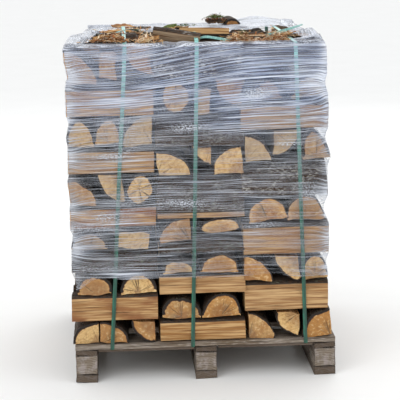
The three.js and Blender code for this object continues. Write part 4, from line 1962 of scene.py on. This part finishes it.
        # Painted highlight: where the film is pulled over the log tips it is painted milkier and more
        # crinkled, so that it glows.
        for tip_a, tip_z in self.tips(total):
            away = np.abs((a - tip_a + total / 2) % total - total / 2)
            glow = np.exp(-(((z - tip_z) / 0.032) ** 2) - (away / 0.09) ** 2)
            haze = haze + 0.32 * glow
            crinkle = crinkle + 0.12 * glow
        for x, level, wide, tall in self.bursts:
            way = (a - total * self.front - x) / wide
            crinkle = crinkle + 0.85 * np.exp(-(way**2) - ((z - level) / tall) ** 2) * (ny < -0.7)
        close = 0.42 + (0.02 + 0.26 * right) * upper + 0.42 * plane_noise(a, z, (0.26, 0.07), 69)
        over_haze = 0.34 + 0.25 * plane_noise(a, inward, (0.07, 0.04), 63)
        over_haze = over_haze + 0.3 * np.exp(-((fx - 0.3) ** 2 + (fy - 0.3) ** 2) / 0.05)
        over_haze = over_haze + 0.2 * np.exp(-inward / 0.012)
        over_crinkle = 0.25 + 0.5 * np.clip(plane_noise(a, inward, (0.04, 0.05), 66), 0, 1)
        over_close = 0.45 + 0.4 * plane_noise(a, inward, (0.2, 0.06), 70)
        over_blue = np.full_like(over_haze, 0.5)
        sides = (haze, crinkle, close, blue)
        folds = (over_haze, over_crinkle, over_close, over_blue)
        return tuple(np.clip(np.concatenate(pair), 0.02, 1.0) for pair in zip(sides, folds))


# ---------------------------------------------------------------- what lies on the load


@dataclass(frozen=True)
class LooseLog:
    """One split log that lies loose on the load in place of a frame node.

    The size is its width, height and length.  The place is its middle, the height counted from
    the top of the load.  The turns are yaw, pitch and roll in degrees, the tone hue and weathering.
    """

    name: str
    node: str
    cut: Cut
    size: Triple
    place: Triple
    turns: Triple
    tone: tuple[float, float]
    index: int


# Name, node, cut, size, place, turns, tone and number of each.
LOOSE_LOGS = (
    LooseLog(
        "tilted_split_log", "loose_bark_slab", Cut.HALF,
        (0.070, 0.042, 0.175), (-0.076, -0.41, 0.024), (-7, 8, -38), (0.0, 0.8), 316,
    ),
    LooseLog(
        "pale_split_log", "loose_split_log", Cut.SLAB,
        (0.090, 0.032, 0.19), (0.035, -0.28, 0.015), (-4, 1, 160), (0.0, 0.0), 314,
    ),
    LooseLog(
        "back_half_log", "loose_back_log", Cut.HALF,
        (0.070, 0.036, 0.16), (0.187, 0.33, 0.020), (-88, 1, 0), (0.95, 0.0), 313,
    ),
)


@dataclass
class TopLitter:
    """Loose logs, curled bark, torn fibres, moss, a leaf and strap ends lying on the load."""

    wood: list[bpy.types.Material]
    inner: bpy.types.Material
    fibres: bpy.types.Material
    growth: bpy.types.Material
    strap: bpy.types.Material
    top: float = 1.288

    def over(self, place: Triple) -> Triple:
        """A place whose height is counted from the top of the load, in the frame's own heights."""
        return (place[0], place[1], self.top + place[2])

    def loose_log(self, loose: LooseLog) -> bpy.types.Object:
        """Makes one loose split log.

        Args:
            loose: its cut, sizes and place.

        Returns:
            The piece.
        """
        width, height, length = loose.size
        seat = Seat(
            centre=(0.0, 0.0),
            floor=-height / 2,
            start=-width / 2,
            along_x=True,
            width=width,
            height=height,
            length=length,
            cut=loose.cut,
            index=loose.index,
            around=60,
            rings=26,
            tone=loose.tone,
        )
        shell = placed(swept_piece(seat, Relief(lump=6 * MM)), self.over(loose.place), *loose.turns)
        piece = Assembly(loose.name, self.wood, [shell]).build()
        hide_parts(loose.node)
        return piece

    def slabs(self) -> bpy.types.Object:
        """Makes the curled slabs of bark: some lie bark up, some show their orange inside.

        Returns:
            The piece.
        """
        laid = (
            (Slab(0.115, 0.05, 6 * MM, 2.0, index=1, tone=0.3), (-0.332, -0.45, 0.012), (4, 3, 204)),
            (Slab(0.08, 0.04, 5 * MM, 2.3, index=2, tone=0.5), (-0.322, -0.42, 0.020), (-14, -6, 170)),
            (Slab(0.1, 0.07, 5 * MM, 1.7, index=3, tone=0.7, white=0.9), (-0.27, -0.18, 0.014), (24, 0, 0)),
            (Slab(0.12, 0.05, 4 * MM, 0.8, index=4, tone=0.0), (-0.30, 0.06, 0.004), (10, 2, 184)),
            (Slab(0.1, 0.05, 4 * MM, 1.0, index=5, tone=0.05, white=1), (-0.21, 0.22, 0.008), (-22, -3, 4)),
            (Slab(0.1, 0.05, 4 * MM, 0.8, index=6, tone=0.1, white=1), (-0.27, 0.3, 0.006), (38, 0, 192)),
            (Slab(0.08, 0.04, 4 * MM, 2.2, index=7, tone=0.3), (-0.185, -0.455, 0.010), (-8, -12, 204)),
            (Slab(0.06, 0.04, 4 * MM, 1.2, index=10, tone=0.4), (0.115, -0.31, 0.014), (30, 0, 0)),
            (Slab(0.08, 0.07, 6 * MM, 1.9, index=11, tone=0.6), (0.122, 0.285, 0.034), (-12, 0, 0)),
            (Slab(0.09, 0.05, 4 * MM, 1.6, index=12, tone=0.2), (-0.05, -0.02, 0.018), (50, 6, 175)),
            (Slab(0.12, 0.06, 4 * MM, 0.7, index=13, tone=0.2), (0.22, -0.10, 0.002), (-35, 0, 0)),
            (Slab(0.10, 0.06, 5 * MM, 1.2, index=14, tone=0.3), (0.36, -0.26, 0.008), (70, 0, 176)),
        )
        bark, *_ = self.wood
        slabs = Assembly("bark_slabs", [bark, self.inner])
        for slab, place, turns in laid:
            slabs.add(placed(curled_slab(slab), self.over(place), *turns))
        piece = slabs.build()
        return piece

    def strands(self, heaps: tuple[Heap, ...]) -> list[Shell]:
        """The shells of several heaps, their heights counted from the top of the load."""
        return [strand_heap(replace(heap, centre=self.over(heap.centre))) for heap in heaps]

    def heaps(self) -> bpy.types.Object:
        """Makes the heaps of torn fibres and chips, thickest round the slabs.

        Returns:
            The piece.
        """
        heaps = (
            Heap((-0.328, -0.455, 0.012), (0.075, 0.035, 0.034), 300, 24 * MM, 4.6 * MM, 1, (0.0, 1.0)),
            Heap((-0.19, -0.46, 0.006), (0.045, 0.03, 0.034), 150, 24 * MM, 4.4 * MM, 2, (0.5, 1.0), 0.7),
            Heap((0.155, -0.465, 0.004), (0.06, 0.035, 0.044), 380, 18 * MM, 3.0 * MM, 3, (0.1, 1.0)),
            Heap((0.282, -0.465, 0.004), (0.058, 0.035, 0.046), 380, 18 * MM, 3.0 * MM, 4, (0.1, 1.0)),
            Heap((-0.25, 0.12, 0.004), (0.10, 0.14, 0.012), 190, 24 * MM, 4.2 * MM, 5, (0.35, 1.0)),
            Heap((0.12, 0.29, 0.030), (0.05, 0.04, 0.026), 160, 18 * MM, 3.0 * MM, 6, (0.0, 0.5)),
            Heap((0.22, -0.42, 0.001), (0.14, 0.05, 0.008), 110, 24 * MM, 3.4 * MM, 7, (0.3, 1.0)),
            Heap((0.0, -0.15, 0.004), (0.3, 0.2, 0.014), 260, 30 * MM, 3.0 * MM, 8),
            Heap((0.36, -0.2, 0.004), (0.07, 0.14, 0.018), 140, 24 * MM, 2.8 * MM, 9),
        )
        piece = Assembly("torn_fibres", [self.fibres], self.strands(heaps)).build()
        return piece

    def green(self) -> bpy.types.Object:
        """Makes the moss tufts on the back piece and in front of it, and two leaves.

        Returns:
            The piece.
        """
        tufts = (
            Heap((0.122, 0.275, 0.042), (0.040, 0.035, 0.016), 260, 12 * MM, 3.0 * MM, 21),
            Heap((-0.02, 0.12, 0.020), (0.05, 0.03, 0.012), 70, 12 * MM, 3.0 * MM, 22),
            Heap((0.17, -0.455, 0.030), (0.02, 0.014, 0.012), 40, 12 * MM, 3.0 * MM, 23),
        )
        leaf = Slab(0.062, 0.040, 1.2 * MM, 0.9, 0.9, 0.1, 0.8 * MM, 31)
        smaller = replace(leaf, length=0.045, width=0.030, curl=1.1, index=32)
        leaves = (
            (leaf, (-0.085, 0.06, 0.026), (15, -14, 20)),
            (smaller, (-0.045, 0.10, 0.022), (-30, 8, -12)),
        )
        shells = self.strands(tufts)
        for slab, place, turns in leaves:
            shell = placed(curled_slab(slab), self.over(place), *turns)
            shell.slots = shell.slots * 0
            shells.append(shell)
        piece = Assembly("moss_and_leaf", [self.growth], shells).build()
        return piece

    def strap_ends(self) -> bpy.types.Object:
        """Makes the loose ends of the straps: one along the front, one sticking up, one short.

        Each end's middle joins four knots by straight lines, whose corners are then averaged away.
        It tilts from one angle to another on its way.

        Returns:
            The piece.
        """
        front = (-0.012, -0.43, 0.012), (0.03, -0.435, 0.021), (0.08, -0.44, 0.013), (0.125, -0.452, 0.004)
        raised = (0.27, -0.29, 0.006), (0.31, -0.285, 0.016), (0.36, -0.28, 0.03), (0.415, -0.275, 0.046)
        short = (-0.3, -0.05, 0.012), (-0.27, -0.02, 0.02), (-0.235, 0.02, 0.018), (-0.21, 0.07, 0.008)
        ends = Assembly("strap_ends", [self.strap])
        for run, tilts in ((front, (0.5, 0.7)), (raised, (1.3, 0.25)), (short, (0.2, -0.5))):
            knots = np.array([self.over(knot) for knot in run])
            at = np.linspace(0, 3, 40)
            path = np.stack([np.interp(at, range(4), knots[:, axis]) for axis in range(3)], axis=1)
            for _ in range(12):
                path[1:-1] = (path[:-2] + 2 * path[1:-1] + path[2:]) / 4
            tilt = np.linspace(*tilts, len(path))
            lateral = np.stack([0 * tilt, np.cos(tilt), np.sin(tilt)], axis=1)
            tail = ribbon(path, lateral, 14.5 * MM, 0.9 * MM, False)
            # A clean end without film over it is only a little milky.
            tail.tone[:, 0] = 0.55
            ends.add(tail)
        piece = ends.build()
        return piece

    def build(self) -> list[bpy.types.Object]:
        """Makes everything on top of the load."""
        logs = [self.loose_log(loose) for loose in LOOSE_LOGS]
        return [*logs, self.slabs(), self.heaps(), self.green(), self.strap_ends()]


# ---------------------------------------------------------------- studio


@dataclass
class Studio:
    """Pale floor, soft light and the camera."""

    distance: float = 5.0
    side: float = -0.305
    eye: float = 1.733
    pan_degrees: float = 3.45
    tilt_degrees: float = 10.78
    roll_degrees: float = -0.94
    lens: float = 122.7
    shift: float = -0.05
    floor_half: float = 40.0
    sky: str = "#fdfeff"
    sky_strength: float = 1.06
    # Name, place, size in metres and power in watts of each area lamp.
    lamps: ClassVar[tuple[tuple[str, Triple, float, float], ...]] = (
        ("key", (-3.4, -4.6, 4.4), 3.0, 76.0),
        ("fill", (4.4, -3.8, 2.8), 3.6, 27.0),
        ("rear", (1.5, 4.6, 4.4), 4.0, 80.0),
    )

    def build(self) -> None:
        """Makes the floor, lamps and camera."""
        half = self.floor_half
        corners = [(-half, -half, 0), (half, -half, 0), (half, half, 0), (-half, half, 0)]
        mesh = bpy.data.meshes.new("floor")
        mesh.from_pydata(corners, [], [(0, 1, 2, 3)])
        floor = bpy.data.objects.new("floor", mesh)
        mesh.materials.append(PaleFloor().build())
        bpy.context.scene.collection.objects.link(floor)
        for lamp in self.lamps:
            self.lamp(*lamp)
        world = bpy.data.worlds.new("soft_sky")
        world.use_nodes = True
        background = world.node_tree.nodes["Background"]
        background.inputs["Color"].default_value = linear(self.sky)
        background.inputs["Strength"].default_value = self.sky_strength
        bpy.context.scene.world = world
        bpy.context.scene.view_settings.view_transform = "Standard"
        self.camera()

    def lamp(self, name: str, place: Triple, size: float, watts: float) -> None:
        """Adds a large square area lamp that faces the middle of the load.

        Args:
            name: the lamp's name.
            place: where it stands.
            size: length of its sides.
            watts: its power.
        """
        data = bpy.data.lights.new(name, "AREA")
        data.size = size
        data.energy = watts
        lamp = bpy.data.objects.new(name, data)
        lamp.location = place
        aim = np.array([0.0, 0.0, 0.65]) - place
        lamp.rotation_euler = Vector(aim).to_track_quat("-Z", "Y").to_euler()
        bpy.context.scene.collection.objects.link(lamp)

    def camera(self) -> None:
        """Stands the camera in front, a little left and above the top edge, and rolls it."""
        turns = (("Z", -self.pan_degrees), ("X", 90 - self.tilt_degrees), ("Z", self.roll_degrees))
        aim = Matrix.Identity(4)
        for axis, degrees in turns:
            aim = aim @ Matrix.Rotation(math.radians(degrees), 4, axis)
        place = (self.side, CAD_BOX[0][1] - self.distance, self.eye)
        data = bpy.data.cameras.new("camera")
        data.sensor_width = 36.0
        data.lens = self.lens
        data.shift_y = self.shift
        data.clip_end = 80.0
        camera = bpy.data.objects.new("camera", data)
        camera.matrix_world = Matrix.Translation(place) @ aim
        bpy.context.scene.collection.objects.link(camera)
        bpy.context.scene.camera = camera


def main() -> None:
    """Builds the sub-assemblies in order and reports each piece."""
    wood = [OldBirchBark().build(), RivenBirch().build(), SawnEndGrain().build()]
    deal = WeatheredDeal().build()
    left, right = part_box("stack_front_left"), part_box("stack_front_right")
    pitch_x = (right[0][0] - left[0][0]) / 2
    pitch_y = (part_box("stack_back_left")[0][1] - left[0][1]) / 2
    cribs = Cribs(
        deck=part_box("deck_board_1")[1][2],
        pitch=(pitch_x, pitch_y),
        log_length=(left[1][0] - left[0][0], left[1][1] - left[0][1]),
        finishes=wood,
    )
    pieces = cribs.build()
    pieces += Pallet([deal, deal, DealEndGrain().build()]).build()
    strapping = EmbossedPolyester().build()
    pieces += Straps(strapping).build()
    # The film lies just outside the straps' faces, which stand 496.5 mm from the middle.
    film = FilmSleeve(StretchFilm().build(), np.concatenate(cribs.cloud), strap_face=496.5 * MM)
    pieces.append(film.build())
    litter = TopLitter(wood, InnerBark().build(), Splinter().build(), GreenGrowth().build(), strapping)
    pieces += litter.build()
    Studio().build()
    for piece in pieces:
        log.info("%s: %d faces", piece.name, len(piece.data.polygons))
    log.info("%d pieces in all", len(pieces))


if __name__ == "__main__":
    main()
